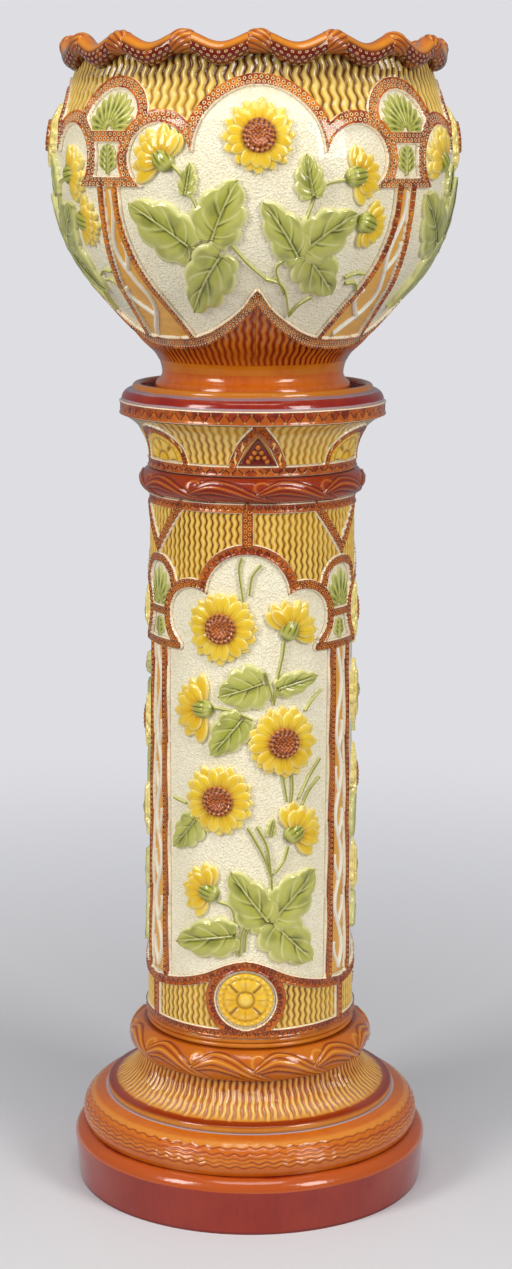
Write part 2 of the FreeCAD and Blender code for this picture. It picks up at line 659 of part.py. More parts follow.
def make_rim():
    # a festoon hangs from each crest to the next, and a twisted wrap closes the joint at the crest
    wave = 360.0 / rim_waves
    edge = 0.5 * twist_angle
    steps = 6
    bearings = [edge + (wave - twist_angle) * step / steps for step in range(steps + 1)]
    festoon = Part.makeLoft([rim_section(bearing, 0.0) for bearing in bearings], True, False)
    save("rim_festoons", *around(festoon, rim_waves, bowl_turn))
    wrap = Part.makeLoft([rim_section(-edge, 0.0), rim_section(0.0, twist_swell), rim_section(edge, 0.0)],
                         True, True)
    save("rim_twists", *around(wrap, rim_waves, bowl_turn))


def make_bowl_relief():
    windows = bowl_windows()
    make_straps("bowl", bowl, bowl_skin, windows)
    make_palmettes("bowl", bowl, bowl_skin, [(1.0, 0.826), (1.0, 0.69)], bowl_palmette_radius,
                   windows["palmettes"])
    make_scrolls("bowl", bowl, bowl_skin, 0.16, 0.58, (0.1, 0.02), bowl_scroll_turns, windows["scrolls"])
    make_spray("bowl", bowl, bowl_skin, bowl_spray, bowl_flower_radius, windows["panel"])


os.makedirs("parts", exist_ok=True)
make_base()
make_shaft()
make_capital()
make_bowl_shell()
make_rim()
make_bowl_relief()
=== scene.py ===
import math
import bpy
import bmesh
import mathutils
import numpy as np
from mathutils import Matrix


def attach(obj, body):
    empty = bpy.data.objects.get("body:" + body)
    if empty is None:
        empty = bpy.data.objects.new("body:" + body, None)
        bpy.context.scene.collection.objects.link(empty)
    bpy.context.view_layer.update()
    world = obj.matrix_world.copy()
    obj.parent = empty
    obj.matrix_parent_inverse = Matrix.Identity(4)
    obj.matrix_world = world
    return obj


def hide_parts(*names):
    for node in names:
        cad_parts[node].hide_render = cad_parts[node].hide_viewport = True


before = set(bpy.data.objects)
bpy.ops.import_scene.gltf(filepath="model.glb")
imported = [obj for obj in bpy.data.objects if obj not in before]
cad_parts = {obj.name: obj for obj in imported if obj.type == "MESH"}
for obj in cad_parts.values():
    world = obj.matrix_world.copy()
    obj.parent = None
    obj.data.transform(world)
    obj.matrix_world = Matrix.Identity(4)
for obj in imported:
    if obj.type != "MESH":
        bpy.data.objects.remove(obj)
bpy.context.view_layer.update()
print("frame loaded,", len(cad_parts), "nodes")

mm = 0.001
fullTurn = 2 * math.pi
buried = -0.8  # mm from the wall to the foot of a piece's sides, which go into it
chance = np.random.default_rng(11)


# small sums on arrays

def smooth(start, end, value):
    share = np.clip((value - start) / (end - start), 0.0, 1.0)
    return share * share * (3.0 - 2.0 * share)


def ridge(value, width):
    return np.exp(-(value / width) ** 2)


def patch(rows, columns, first=-1):
    # places along a patch as a column and across it as a row
    return np.linspace(0, 1, rows)[:, None], np.linspace(first, 1, columns)[None, :]


def roundPatch(first, rows, columns):
    # shares of a radius as a column and bearings all round as a row
    return np.linspace(first, 1.0, rows)[:, None], np.linspace(0, fullTurn, columns, endpoint=False)[None, :]


def turned(radius, bearing, level):
    return np.stack([radius * np.sin(bearing), -radius * np.cos(bearing), level], -1) * mm


def closed(table):
    return np.hstack([table, table[:, :1]])


def cellCorners(table):
    return [table[:-1, :-1], table[:-1, 1:], table[1:, 1:], table[1:, :-1]]


def legLengths(points):
    return np.hypot(*np.diff(points, axis=0).T)


def curveThrough(points, count):
    # a soft line through points, with as many samples as asked for
    points = np.array(points, float)
    padded = np.vstack([2 * points[0] - points[1], points, 2 * points[-1] - points[-2]])
    where = np.linspace(0, len(points) - 1, count)
    leg = np.minimum(where.astype(int), len(points) - 2)
    t = (where - leg)[:, None]
    a, b, c, d = padded[leg], padded[leg + 1], padded[leg + 2], padded[leg + 3]
    return 0.5 * (2 * b + (c - a) * t + (2 * a - 5 * b + 4 * c - d) * t ** 2
                  + (3 * b - a - 3 * c + d) * t ** 3)


def arc(centre, radius, first, last, count=40):
    bearings = np.radians(np.linspace(first, last, count))
    return np.stack([centre[0] + radius * np.cos(bearings), centre[1] + radius * np.sin(bearings)], -1)


def arcVia(start, via, end, count=14):
    # the arc through three points
    (ax, ay), (bx, by), (cx, cy) = start, via, end
    double = 2 * (ax * (by - cy) + bx * (cy - ay) + cx * (ay - by))
    a, b, c = [x * x + y * y for x, y in (start, via, end)]
    ux = (a * (by - cy) + b * (cy - ay) + c * (ay - by)) / double
    uy = (a * (cx - bx) + b * (ax - cx) + c * (bx - ax)) / double
    turns = [math.atan2(y - uy, x - ux) for x, y in (start, via, end)]
    for before, after in ((0, 1), (1, 2)):
        while turns[after] - turns[before] > math.pi:
            turns[after] -= fullTurn
        while turns[after] - turns[before] < -math.pi:
            turns[after] += fullTurn
    return arc((ux, uy), math.hypot(ax - ux, ay - uy), math.degrees(turns[0]), math.degrees(turns[2]), count)


class Wall:
    # a turned surface: a place on it is a run round it, a level up it and a height off it, in mm
    def __init__(self, outline, girth, panels=1, turn=0.0, byLevel=True):
        self.outline = np.array(outline, float)
        steps = legLengths(self.outline)
        self.up = self.outline[:, 1] if byLevel else np.concatenate([[0.0], np.cumsum(steps)])
        run = np.gradient(self.outline, axis=0)
        run /= np.hypot(run[:, 0], run[:, 1])[:, None]
        self.out = np.stack([run[:, 1], -run[:, 0]], -1)
        self.girth, self.panels, self.turn = girth, panels, math.radians(turn)
        self.half = math.pi * girth / panels

    def at(self, run, up, height):
        radius, level, out, lift = [np.interp(up, self.up, column)
                                    for column in (*self.outline.T, *self.out.T)]
        return turned(radius + height * out, run / self.girth + self.turn, level + height * lift)

    def copies(self):
        return [2 * self.half * number for number in range(self.panels)]


class Clay:
    # one piece being built: its points, its faces and what the glaze reads at each point
    def __init__(self):
        self.points, self.faces, self.values, self.count = [], [], [], 0

    def add(self, points, faces, deep=0.0, pale=0.0, tone=0.5, kind=0.0, place=0.0):
        shape = points.shape[:-1]
        points = points.reshape(-1, 3)
        total = len(points)
        columns = [np.ravel(value) if np.size(value) == total else np.broadcast_to(value, shape).ravel()
                   for value in (deep, pale, tone, kind)]
        spot = np.reshape(place, (-1, 3)) if np.size(place) > 1 else np.zeros((total, 3))
        self.points.append(points)
        self.values.append(np.column_stack([*columns, spot]))
        self.faces += [np.asarray(face) + self.count for face in faces]
        self.count += total

    def grid(self, points, wrapColumns=False, wrapRows=False, corners=True, **values):
        rows, columns = points.shape[:2]
        index = np.arange(rows * columns).reshape(rows, columns)
        if wrapColumns:
            index = closed(index)
        if wrapRows:
            index = np.vstack([index, index[:1]])
        quads = np.stack(cellCorners(index), -1)
        keep = np.ones(quads.shape[:2], bool)
        if not corners:
            keep[[0, 0, -1, -1], [0, -1, 0, -1]] = False
        self.add(points, [quads[keep]], **values)

    def relief(self, wall, run, up, height, sink=1.0, joined=None, **values):
        # a raised patch with sides that go down into the wall, but for a column joined to the next patch
        values = {name: np.pad(np.broadcast_to(value, height.shape), 1, "edge")
                  for name, value in values.items()}
        level = np.pad(height, 1, constant_values=-sink)
        if joined is not None:
            level[1:-1, joined] = height[:, joined]
        self.grid(wall.at(np.pad(run, 1, "edge"), np.pad(up, 1, "edge"), level), corners=False, **values)

    def roundRelief(self, wall, run, up, height, edge, **values):
        # a round patch with a side that goes down into the wall
        points = wall.at(run, up, height)
        low = wall.at(run[-1:], up[-1:], buried + 0 * run[-1:])
        self.grid(points, wrapColumns=True, **values)
        self.grid(np.concatenate([points[-1:], low]), wrapColumns=True, deep=edge)
        return points

    def mesh(self, name):
        points, values = np.vstack(self.points), np.vstack(self.values)
        kinds = [(side, [face for face in self.faces if face.shape[-1] == side]) for side in (4, 3)]
        kinds = [(side, np.vstack(faces)) for side, faces in kinds if faces]
        corners = np.concatenate([faces.ravel() for side, faces in kinds])
        sizes = np.concatenate([np.full(len(faces), side) for side, faces in kinds])
        starts = np.concatenate([[0], np.cumsum(sizes)[:-1]])
        mesh = bpy.data.meshes.new(name)
        mesh.vertices.add(len(points))
        mesh.vertices.foreach_set("co", points.astype(np.float32).ravel())
        mesh.loops.add(len(corners))
        mesh.loops.foreach_set("vertex_index", corners.astype(np.int32))
        mesh.polygons.add(len(sizes))
        mesh.polygons.foreach_set("loop_start", starts.astype(np.int32))
        for number, label in enumerate(("deep", "pale", "tone", "kind")):
            layer = mesh.attributes.new(label, "FLOAT", "POINT")
            layer.data.foreach_set("value", values[:, number].astype(np.float32))
        layer = mesh.attributes.new("place", "FLOAT_VECTOR", "POINT")
        layer.data.foreach_set("vector", values[:, 4:7].astype(np.float32).ravel())
        mesh.update(calc_edges=True)
        tidy = bmesh.new()
        tidy.from_mesh(mesh)
        bmesh.ops.remove_doubles(tidy, verts=tidy.verts, dist=2e-6)
        loose = [vert for vert in tidy.verts if not vert.link_faces]
        bmesh.ops.delete(tidy, geom=loose, context="VERTS")
        tidy.to_mesh(mesh)
        tidy.free()
        mesh.polygons.foreach_set("use_smooth", np.ones(len(mesh.polygons), bool))
        mesh.validate()
        return mesh


def makePiece(name, clay, material, body, slot, *nodes):
    piece = bpy.data.objects.new(name, clay.mesh(name))
    bpy.context.scene.collection.objects.link(piece)
    piece.data.materials.append(material)
    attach(piece, body)
    if nodes:
        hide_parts(*nodes)
    print(name, len(piece.data.polygons), "faces")


# shader sums

class Socket:
    # an output of a node, so that sums on it are written as plain sums
    def __init__(self, recipe, output):
        self.recipe, self.output = recipe, output

    def sum(self, operation, *terms):
        return self.recipe.node("ShaderNodeMath", {"operation": operation}, dict(enumerate(terms)))

    def __add__(self, other):
        return self.sum("ADD", self, other)

    def __radd__(self, other):
        return self.sum("ADD", other, self)

    def __sub__(self, other):
        return self.sum("SUBTRACT", self, other)

    def __rsub__(self, other):
        return self.sum("SUBTRACT", other, self)

    def __mul__(self, other):
        return self.sum("MULTIPLY", self, other)

    def __rmul__(self, other):
        return self.sum("MULTIPLY", other, self)

    def __truediv__(self, other):
        return self.sum("DIVIDE", self, other)

    def __pow__(self, other):
        return self.sum("POWER", self, other)

    def __abs__(self):
        return self.sum("ABSOLUTE", self)

    def max(self, other):
        return self.sum("MAXIMUM", self, other)

    def min(self, other):
        return self.sum("MINIMUM", self, other)

    def sine(self):
        return self.sum("SINE", self)

    def floor(self):
        return self.sum("FLOOR", self)

    def step(self, start, end):
        # 0 before start, 1 after end, soft between; start may be the larger
        return self.recipe.node("ShaderNodeMapRange", {"interpolation_type": "SMOOTHSTEP"},
                                {"Value": self, "From Min": start, "From Max": end, "To Min": 0.0,
                                 "To Max": 1.0})


def paint(red, green, blue):
    # a colour as seen on screen, from 0 to 255, as the renderer's linear one
    levels = [value / 255 for value in (red, green, blue)]
    return [level / 12.92 if level <= 0.04045 else ((level + 0.055) / 1.055) ** 2.4 for level in levels] + [1.0]


def tones(*colours):
    return dict(zip(("body", "deep", "pale", "other"), [paint(*colour) for colour in colours]))


gloss = {"IOR": 1.52, "Specular IOR Level": 0.3, "Coat Roughness": 0.04, "Coat IOR": 1.5}


class Recipe:
    # a material and the sums that make it
    def __init__(self, name):
        self.material = bpy.data.materials.new(name)
        self.material.use_nodes = True
        self.tree = self.material.node_tree
        self.shader = self.tree.nodes["Principled BSDF"]
        self.where = self.node("ShaderNodeTexCoord", output="Object")
        self.x, self.y, self.z = self.split(self.where)

    def node(self, kind, settings=None, values=None, output=0):
        node = self.tree.nodes.new(kind)
        for name, value in (settings or {}).items():
            setattr(node, name, value)
        for name, value in (values or {}).items():
            if isinstance(value, Socket):
                self.tree.links.new(value.output, node.inputs[name])
            else:
                node.inputs[name].default_value = value
        return Socket(self, node.outputs[output])

    def split(self, vector):
        return [self.node("ShaderNodeSeparateXYZ", values={"Vector": vector}, output=axis) for axis in "XYZ"]

    def mix(self, share, first, second):
        return self.node("ShaderNodeMix", {"data_type": "RGBA"}, {0: share, 6: first, 7: second}, 2)

    def value(self, name, output="Fac"):
        return self.node("ShaderNodeAttribute", {"attribute_name": name}, output=output)

    def noise(self, scale, detail=2.0, roughness=0.5, vector=None):
        return self.node("ShaderNodeTexNoise", output="Fac", values={
            "Vector": vector or self.where, "Scale": scale, "Detail": detail, "Roughness": roughness})

    def stretched(self, across, along):
        # the object's own coordinates with other scales round and up, for runs of glaze
        return self.node("ShaderNodeVectorMath", {"operation": "MULTIPLY"},
                         {0: self.where, 1: (across, across, along)})

    def feed(self, name, socket):
        self.tree.links.new(socket.output, self.shader.inputs[name])

    def finish(self, colour, roughness, height=None, depth=0.0004, coat=0.5):
        self.feed("Base Color", colour)
        self.feed("Roughness", roughness)
        for name, level in {**gloss, "Coat Weight": coat}.items():
            self.shader.inputs[name].default_value = level
        if height is not None:
            self.feed("Normal", self.node("ShaderNodeBump", values={
                "Height": height, "Distance": depth, "Strength": 1.0}))
        return self.material


poolAndHighlightBlue = paint(187, 183, 197)  # bluish white of glaze pooled thick in a groove, with the painted highlight that such concave edges catch
mottle = {"cloud": 22.0, "grain": 420.0, "sheen": 60.0, "runAcross": 160.0, "runAlong": 22.0, "rough": 0.09,
          "depth": 0.00015}  # noise scales per metre, least roughness, depth of the skin in metres


def glaze(name, body, deep, pale, other, streak=0.0, speck=0.25, worked=True, bands=()):
    # lead glaze: thin and pale on edges, pooled and deep in hollows, mottled over the rest;
    # a worked piece says at each point how deep or pale it lies, and bands are levels of other colour
    recipe = Recipe(name)
    cloud = recipe.noise(mottle["cloud"], 3.0, 0.6)
    grain = recipe.noise(mottle["grain"], 2.0, 0.6)
    share = cloud.step(0.35, 0.7)
    if streak:
        runs = recipe.noise(1.0, 3.0, 0.6, recipe.stretched(mottle["runAcross"], mottle["runAlong"]))
        share = share * (1.0 - streak) + runs.step(0.38, 0.68) * streak
    colour = recipe.mix(share * 0.75, body, other)
    if worked:
        tone = recipe.value("tone")
        colour = recipe.mix((tone - 0.5).max(0.0) * 0.9, colour, pale)
        colour = recipe.mix((0.5 - tone).max(0.0) * 0.9, colour, deep)
    for low, high, paintOver, strength in bands:
        soft = min(0.9, 0.3 * (high - low))
        level = recipe.z * 1000.0 + (cloud - 0.5) * 3.0 * soft
        within = level.step(low - soft, low) * level.step(high + soft, high)
        colour = recipe.mix(within * strength, colour, paintOver)
    if worked:
        for label, tint in (("pale", pale), ("deep", deep)):
            share = (recipe.value(label) + (grain - 0.5) * speck).max(0.0).min(1.0)
            colour = recipe.mix(share, colour, tint)
        # kind paints a bluish-white line in concave edges and grooves: pooled glaze and a painted highlight
        colour = recipe.mix(recipe.value("kind").min(0.9), colour, poolAndHighlightBlue)
    roughness = recipe.noise(mottle["sheen"]) * 0.14 + mottle["rough"]
    return recipe.finish(colour, roughness, grain + cloud * 2.0, mottle["depth"])


# the walls that carry the relief

bowlArcs = [(87.5, 812.0), (90.2, 821.6), (98.0, 832.0), (124.0, 863.0), (152.0, 894.0), (173.45, 928.0),
            (184.5, 962.0), (189.0, 1003.0), (185.5, 1044.0), (173.6, 1070.0), (165.0, 1096.0)]
bowlOutline = np.vstack([arcVia(*bowlArcs[first:first + 3])[min(first, 1):]
                         for first in range(0, len(bowlArcs) - 1, 2)])
coveArc = arcVia((99.0, 729.0), (106.8, 753.7), (125.0, 768.9), 24)
shaftWall = Wall([(101.0, 171.4), (97.5, 694.0)], 100.0, 3, -2.4)
bowlWall = Wall(bowlOutline, 185.0, 4, 1.5)
neckWall = Wall(np.vstack([bowlOutline, [(164.2, 1100.0), (163.6, 1105.0)]]), 185.0, 4, 1.5)
coveWall = Wall(coveArc, 115.0, 3, 2.9)


# glazes: body, deep, pale and other colour

creamTones = tones((250, 242, 216), (204, 186, 140), (252, 247, 228), (243, 232, 198))
ochreTones = tones((220, 171, 65), (117, 57, 7), (242, 211, 114), (203, 147, 34))
amberTones = tones((193, 102, 15), (97, 25, 5), (224, 156, 49), (169, 75, 12))
rustTones = tones((150, 50, 14), (74, 12, 6), (212, 118, 30), (178, 84, 22))
leafTones = tones((162, 164, 58), (62, 70, 20), (222, 218, 150), (188, 184, 84))
petalTones = tones((238, 203, 49), (175, 106, 15), (248, 234, 156), (230, 181, 25))
seedTones = tones((175, 84, 22), (54, 13, 4), (230, 160, 75), (146, 54, 15))

leafMaterial = glaze("leafGlaze", streak=0.3, **leafTones)
petalMaterial = glaze("petalGlaze", streak=0.2, **petalTones)
seedMaterial = glaze("seedGlaze", speck=0.5, **seedTones)
milkMaterial = glaze("milkGlaze", **tones((250, 246, 228), (214, 184, 120), (253, 251, 242), (244, 236, 210)))
lemonMaterial = glaze("lemonGlaze", **tones((238, 190, 44), (128, 74, 10), (250, 224, 122), (226, 168, 28)))
amberMaterial = glaze("amberGlaze", streak=0.5, **amberTones)
redMaterial = glaze("redGlaze", streak=0.4, **tones((125, 28, 10), (75, 10, 5), (193, 91, 22), (146, 49, 15)))


combWander = (2.3, 0.7)  # how the waves of one line differ from the next, in step and in amount


def combedGlaze(name, comb, body, deep, pale, other):
    # glaze lying pale on the ridges and brown in the wavy grooves between them
    recipe = Recipe(name)
    run, up, paintedShade = recipe.split(recipe.value("place", "Vector"))
    pitch = comb["pitch"]
    line = (run / pitch).floor()
    phase = (line * combWander[0]).sine() * combWander[1] + up * (fullTurn / comb["wave"])
    groove = abs(run - (line + 0.5) * pitch - phase.sine() * comb["sway"]) / pitch
    cloud = recipe.noise(30.0, 3.0)
    drift = recipe.noise(14.0)
    colour = recipe.mix(cloud.step(0.3, 0.7) * 0.8, body, other)
    colour = recipe.mix(groove.step(0.2, 0.42) * 0.75, colour, pale)
    depth = groove.step(0.21, 0.05) * (drift.step(0.35, 0.65) * 0.5 + 0.45)
    # painted shade: paintedShade darkens grooves and ridges alike, as under the rim's overhang
    depth = (depth + paintedShade * (groove.step(0.42, 0.1) * 0.5 + 0.35)).min(1.0)
    colour = recipe.mix(depth, colour, deep)
    grain = recipe.noise(mottle["grain"])
    return recipe.finish(colour, cloud * 0.12 + 0.08, grain * 0.3 - groove.step(0.16, 0.0))


def combSettings(girth, ridges, sway, wave, height):
    return {"pitch": fullTurn * girth / ridges, "sway": sway, "wave": wave, "height": height}


combFloor = 0.35  # mm of clay under the grooves


def combed(run, up, comb):
    # height of a combed ground, with one wavy groove to each pitch
    line = np.floor(run / comb["pitch"])
    swing = comb["sway"] * np.sin(combWander[1] * np.sin(combWander[0] * line) + fullTurn * up / comb["wave"])
    groove = np.abs(run - (line + 0.5) * comb["pitch"] - swing)
    return combFloor + comb["height"] * smooth(0.02, 0.46, groove / comb["pitch"])


def combedField(wall, low, high, keep, clay, comb, fade=None, paintedShade=None, along=1.8):
    # a combed ground all round the wall where keep says so, its edges hidden under the straps
    girth = fullTurn * wall.girth
    columns = int(round(girth / comb["pitch"])) * 7
    run = np.linspace(0, girth, columns, endpoint=False)[None, :]
    up = np.linspace(low, high, int((high - low) / along) + 1)[:, None]
    run, up = np.broadcast_arrays(run, up)
    inside = keep((run + wall.half) % (2 * wall.half) - wall.half, up)
    height = combed(run, up, comb)
    if fade is not None:
        height = combFloor + (height - combFloor) * fade(up)
    quads = np.stack(cellCorners(closed(np.arange(run.size).reshape(run.shape))), -1)
    some = np.any(cellCorners(closed(inside)), axis=0)
    # the third place value carries painted shade where paintedShade is given
    dark = np.zeros_like(run) if paintedShade is None else paintedShade(up)
    clay.add(wall.at(run, up, height), [quads[some]], place=np.stack([run, up, dark], -1))


# straps: bands round centre lines, joined where they meet, cut by the lobes they frame

strap = {"snap": 0.62, "steep": 0.3, "border": 2.6, "groove": 0.16, "grooveWidth": 0.8,
         "ring": 5.2, "row": 1.95, "line": paint(250, 238, 206)}  # mm, but snap in cells


def lineField(run, up, lines):
    # for each place: how far inside the nearest band it lies, and where along and across that band
    best = np.full(run.shape, -1e9)
    along, across, kind, wide = [np.zeros_like(run) for layer in range(4)]
    for points, half, pattern in lines:
        points = np.array(points, float)
        reach = 0.0
        for (ax, ay), (bx, by) in zip(points[:-1], points[1:]):
            length = math.hypot(bx - ax, by - ay)
            dx, dy = (bx - ax) / length, (by - ay) / length
            t = np.clip((run - ax) * dx + (up - ay) * dy, 0.0, length)
            inside = half - np.hypot(run - ax - t * dx, up - ay - t * dy)
            nearer = inside > best
            best = np.where(nearer, inside, best)
            along = np.where(nearer, reach + t, along)
            across = np.where(nearer, (run - ax) * -dy + (up - ay) * dx, across)
            kind = np.where(nearer, pattern, kind)
            wide = np.where(nearer, half, wide)
            reach += length
    return best, along, across, kind, wide


def bothSides(lines):
    return lines + [([(-run, up) for run, up in points], half, pattern) for points, half, pattern in lines]


def strapwork(wall, lines, lobes, low, high, cell, height, clay):
    # a grid over one panel, its points near an outline drawn onto it, repeated round the wall
    run = np.linspace(-wall.half, wall.half, int(round(2 * wall.half / cell)), endpoint=False)
    up = np.linspace(low, high, int(round((high - low) / cell)) + 1)
    run, up = np.meshgrid(run, up)
    field, along, across, kind, reach = lineField(run, up, lines)
    reach = reach - strap["border"]
    for (x, y), radius in lobes:
        field = np.minimum(field, np.hypot(run - x, up - y) - radius)
    wide = np.pad(field, ((1, 1), (0, 0)), "edge")
    wide = np.hstack([wide[:, -1:], wide, wide[:, :1]])
    slopeRun = (wide[1:-1, 2:] - wide[1:-1, :-2]) / (2 * cell)
    slopeUp = (wide[2:, 1:-1] - wide[:-2, 1:-1]) / (2 * cell)
    steep = np.maximum(slopeRun ** 2 + slopeUp ** 2, strap["steep"])
    near = np.abs(field) < strap["snap"] * cell
    moved = np.where(near, -field / steep, 0.0)
    run, up = run + moved * slopeRun, np.clip(up + moved * slopeUp, low, high)
    field = np.where(near, 0.0, field)
    kept = field >= 0.0
    edge = np.maximum(field, 0.0)
    # a rounded bead along both edges and a sunk field between them, with rings or a zigzag on it
    bead = smooth(0.0, 1.0, edge) * (1.0 - 0.4 * smooth(1.5, 2.3, edge))
    turn = 4 * np.abs((along / np.maximum(kind, 1.0)) % 1.0 - 0.5) - 1
    zigzag = -strap["groove"] * ridge(across - reach * turn, strap["grooveWidth"])
    level = height * (bead + smooth(2.0, 2.8, edge) * np.where(kind > 0.5, zigzag, 0.0))
    run = np.hstack([run + shift for shift in wall.copies()])
    up, level, along, across, kind, reach, edge, kept = [
        np.tile(layer, (1, wall.panels)) for layer in (up, level, along, across, kind, reach, edge, kept)]
    corners = cellCorners(closed(np.arange(run.size).reshape(run.shape)))
    keeps = cellCorners(closed(kept))
    number = sum(keep.astype(int) for keep in keeps)
    quads = np.stack(corners, -1)[number == 4]
    threes = np.vstack([
        np.stack([corners[other] for other in range(4) if other != missing],
                 -1)[(number == 3) & ~keeps[missing]]
        for missing in range(4)])
    points, spot = wall.at(run, up, level), np.stack([along, across, edge], -1)
    clay.add(points, [quads, threes], kind=kind, tone=reach, place=spot)
    # sides: each open edge again, a little inside the wall
    pairs = np.vstack([np.stack([face[:, side], face[:, (side + 1) % face.shape[1]]], -1)
                       for face in (quads, threes) for side in range(face.shape[1])])
    there, back = pairs @ [points.size, 1], pairs @ [1, points.size]
    rim = pairs[~np.isin(there, back)]
    used = np.unique(rim)
    count = len(used)
    spots = np.searchsorted(used, rim)
    foot = wall.at(run, up, np.full(run.shape, buried))
    both = np.vstack([layer.reshape(-1, 3)[used] for layer in (points, foot)])
    sides = np.stack([spots[:, 1], spots[:, 0], spots[:, 0] + count, spots[:, 1] + count], -1)
    clay.add(both, [sides], place=np.vstack([spot.reshape(-1, 3)[used]] * 2),
             kind=np.tile(kind.ravel()[used], 2), tone=np.tile(reach.ravel()[used], 2))


def strapGlaze(name, dot, body, deep, pale, other):
    # rust glaze, cream where it runs thin along the edges, with ring dots or a zigzag between
    recipe = Recipe(name)
    along, across, edge = recipe.split(recipe.value("place", "Vector"))
    period, reach = recipe.value("kind"), recipe.value("tone")
    kind = period.step(0.4, 0.6)
    cloud = recipe.noise(38.0, 3.0, 0.6)
    blot = recipe.noise(120.0)
    grain = recipe.noise(300.0)
    colour = recipe.mix(cloud.step(0.42, 0.6), body, other)
    colour = recipe.mix(blot.step(0.54, 0.62) * 0.5, colour, deep)
    colour = recipe.mix(blot.step(0.44, 0.34) * 0.5, colour, pale)
    # two staggered rows of ring dots
    cell = along / strap["ring"] + across.step(-0.01, 0.01) * 0.5
    inCell = (cell - cell.floor() - 0.5) * strap["ring"]
    inRow = abs(across) - strap["row"]
    ringGap = (inCell * inCell + inRow * inRow) ** 0.5
    rings = ringGap.step(0.7, 0.95) * ringGap.step(1.9, 1.5) * (1.0 - kind)
    hole = ringGap.step(0.95, 0.6) * (1.0 - kind)
    # a zigzag with a bead at each turn and amber in every other triangle
    turn = along / period.max(1.0)
    tooth = abs(turn - turn.floor() - 0.5) * 4.0 - 1.0
    past = across - tooth * reach
    zigzag = abs(past).step(0.85, 0.35) * kind
    lower = past.step(0.2, -0.2) * kind
    bead = (1.0 - abs(tooth)).step(0.34, 0.12) * abs(past).step(1.5, 0.8) * kind
    sunk = edge.step(1.1, 1.5)
    colour = recipe.mix(sunk * lower * 0.35, colour, pale)
    colour = recipe.mix(sunk * (zigzag + hole).min(1.0) * 0.9, colour, deep)
    colour = recipe.mix(sunk * (rings * 0.9 + bead * 0.9).min(1.0), colour, dot)
    rim = edge.step(1.2, 0.8) * edge.step(-0.05, 0.15)
    colour = recipe.mix(rim * (grain.step(0.2, 0.55) * 0.3 + 0.65), colour, strap["line"])
    colour = recipe.mix(edge.step(0.08, 0.0) * 0.3, colour, deep)
    height = sunk * (rings + bead * 1.2 - hole * 0.6 - zigzag * 0.9) + grain * 0.25
    return recipe.finish(colour, cloud * 0.14 + 0.09, height, 0.0007)


strapMaterial = strapGlaze("strapGlaze", paint(228, 158, 70), **rustTones)
bowlStrapMaterial = strapGlaze("bowlStrapGlaze", paint(246, 214, 158),
                               **tones((208, 112, 28), (84, 20, 8), (236, 160, 50), (158, 58, 18)))

shaftStraps = {
    "glaze": strapMaterial, "height": 3.9, "cell": 1.02, "low": 171.4, "high": 694.0,
    "lobes": [((56.0, 584.0), 27.0), ((-56.0, 584.0), 27.0), ((0.0, 605.0), 40.0)],
    "middle": [([(-110, 176.0), (110, 176.0)], 4.9, 7.8), ([(-110, 689.0), (110, 689.0)], 5.0, 7.8),
               ([(0, 652.0), (0, 689.0)], 6.2, 0), (arc((0, 605.0), 45.7, -8, 188), 5.5, 7.8),
               (arc((0, 210.5), 34.3, -80, 260, 60), 5.3, 7.8)],
    "sides": [(arc((56.0, 584.0), 32.2, 140, -52), 5.2, 0), ([(71.5, 554.5), (110, 554.5)], 4.6, 0),
              ([(92, 585), (110, 585)], 4.8, 0),
              (curveThrough([(79, 613), (81, 622), (88, 630.5), (96, 634.6), (110, 635.6)], 20), 4.8, 0),
              ([(69, 690), (107, 643.5)], 5.2, 0), ([(92.2, 553), (87.8, 226)], 5.2, 0),
              ([(104.7, 214), (104.7, 178)], 5.4, 0),
              (curveThrough([(0, 245.2), (10, 243.4), (20, 239.6), (30, 234.6), (42, 229.2), (60, 223.6),
                             (80, 219.4), (110, 216.2)], 40), 5.3, 7.8)],
}
bowlStraps = {
    "glaze": bowlStrapMaterial, "height": 3.9, "cell": 1.0, "low": 822.0, "high": 1088.0,
    "lobes": [((90.0, 1011.0), 29.5), ((-90.0, 1011.0), 29.5), ((0.0, 1016.0), 57.5)],
    "middle": [(arc((0, 1016.0), 63.0, 5, 175, 60), 5.8, 0)],
    "sides": [(arc((90.0, 1011.0), 36.0, 164, -32), 6.4, 0),
              (curveThrough([(112, 1031), (108.5, 1043), (109.5, 1054), (117, 1066), (131, 1075),
                             (146, 1077.5)], 24), 6.2, 0),
              ([(108, 1029.5), (150, 1029.5)], 5.6, 0), ([(104, 990), (150, 990)], 5.0, 0),
              ([(122.6, 990), (122.6, 1030)], 4.8, 0),
              (curveThrough([(136.2, 990), (135.8, 960), (133.0, 938), (128.0, 915), (121.0, 896),
                             (113.0, 878), (104.5, 862), (96, 846)], 30), 4.6, 7.8),
              (curveThrough([(0, 891), (6, 884), (12.5, 877), (25, 868.5), (40, 861), (60, 853), (82, 847.5),
                             (100, 845), (124, 843.8), (150, 843.5)], 40), 5.6, 0)],
}

for label, wall, body, kit in (("shaft", shaftWall, "stand", shaftStraps),
                               ("bowl", bowlWall, "jardiniere", bowlStraps)):
    clay = Clay()
    strapwork(wall, kit["middle"] + bothSides(kit["sides"]), kit["lobes"], kit["low"], kit["high"],
              kit["cell"], kit["height"], clay)
    makePiece(label + "_strapwork_glazed", clay, kit["glaze"], body, "strap_glaze", label + "_strapwork")


# combed grounds in the spandrels, round the foot of the shaft, at the bowl's neck and over its skirt;
# each keep says where the ground shows, in mm from the middle of a panel and above the floor

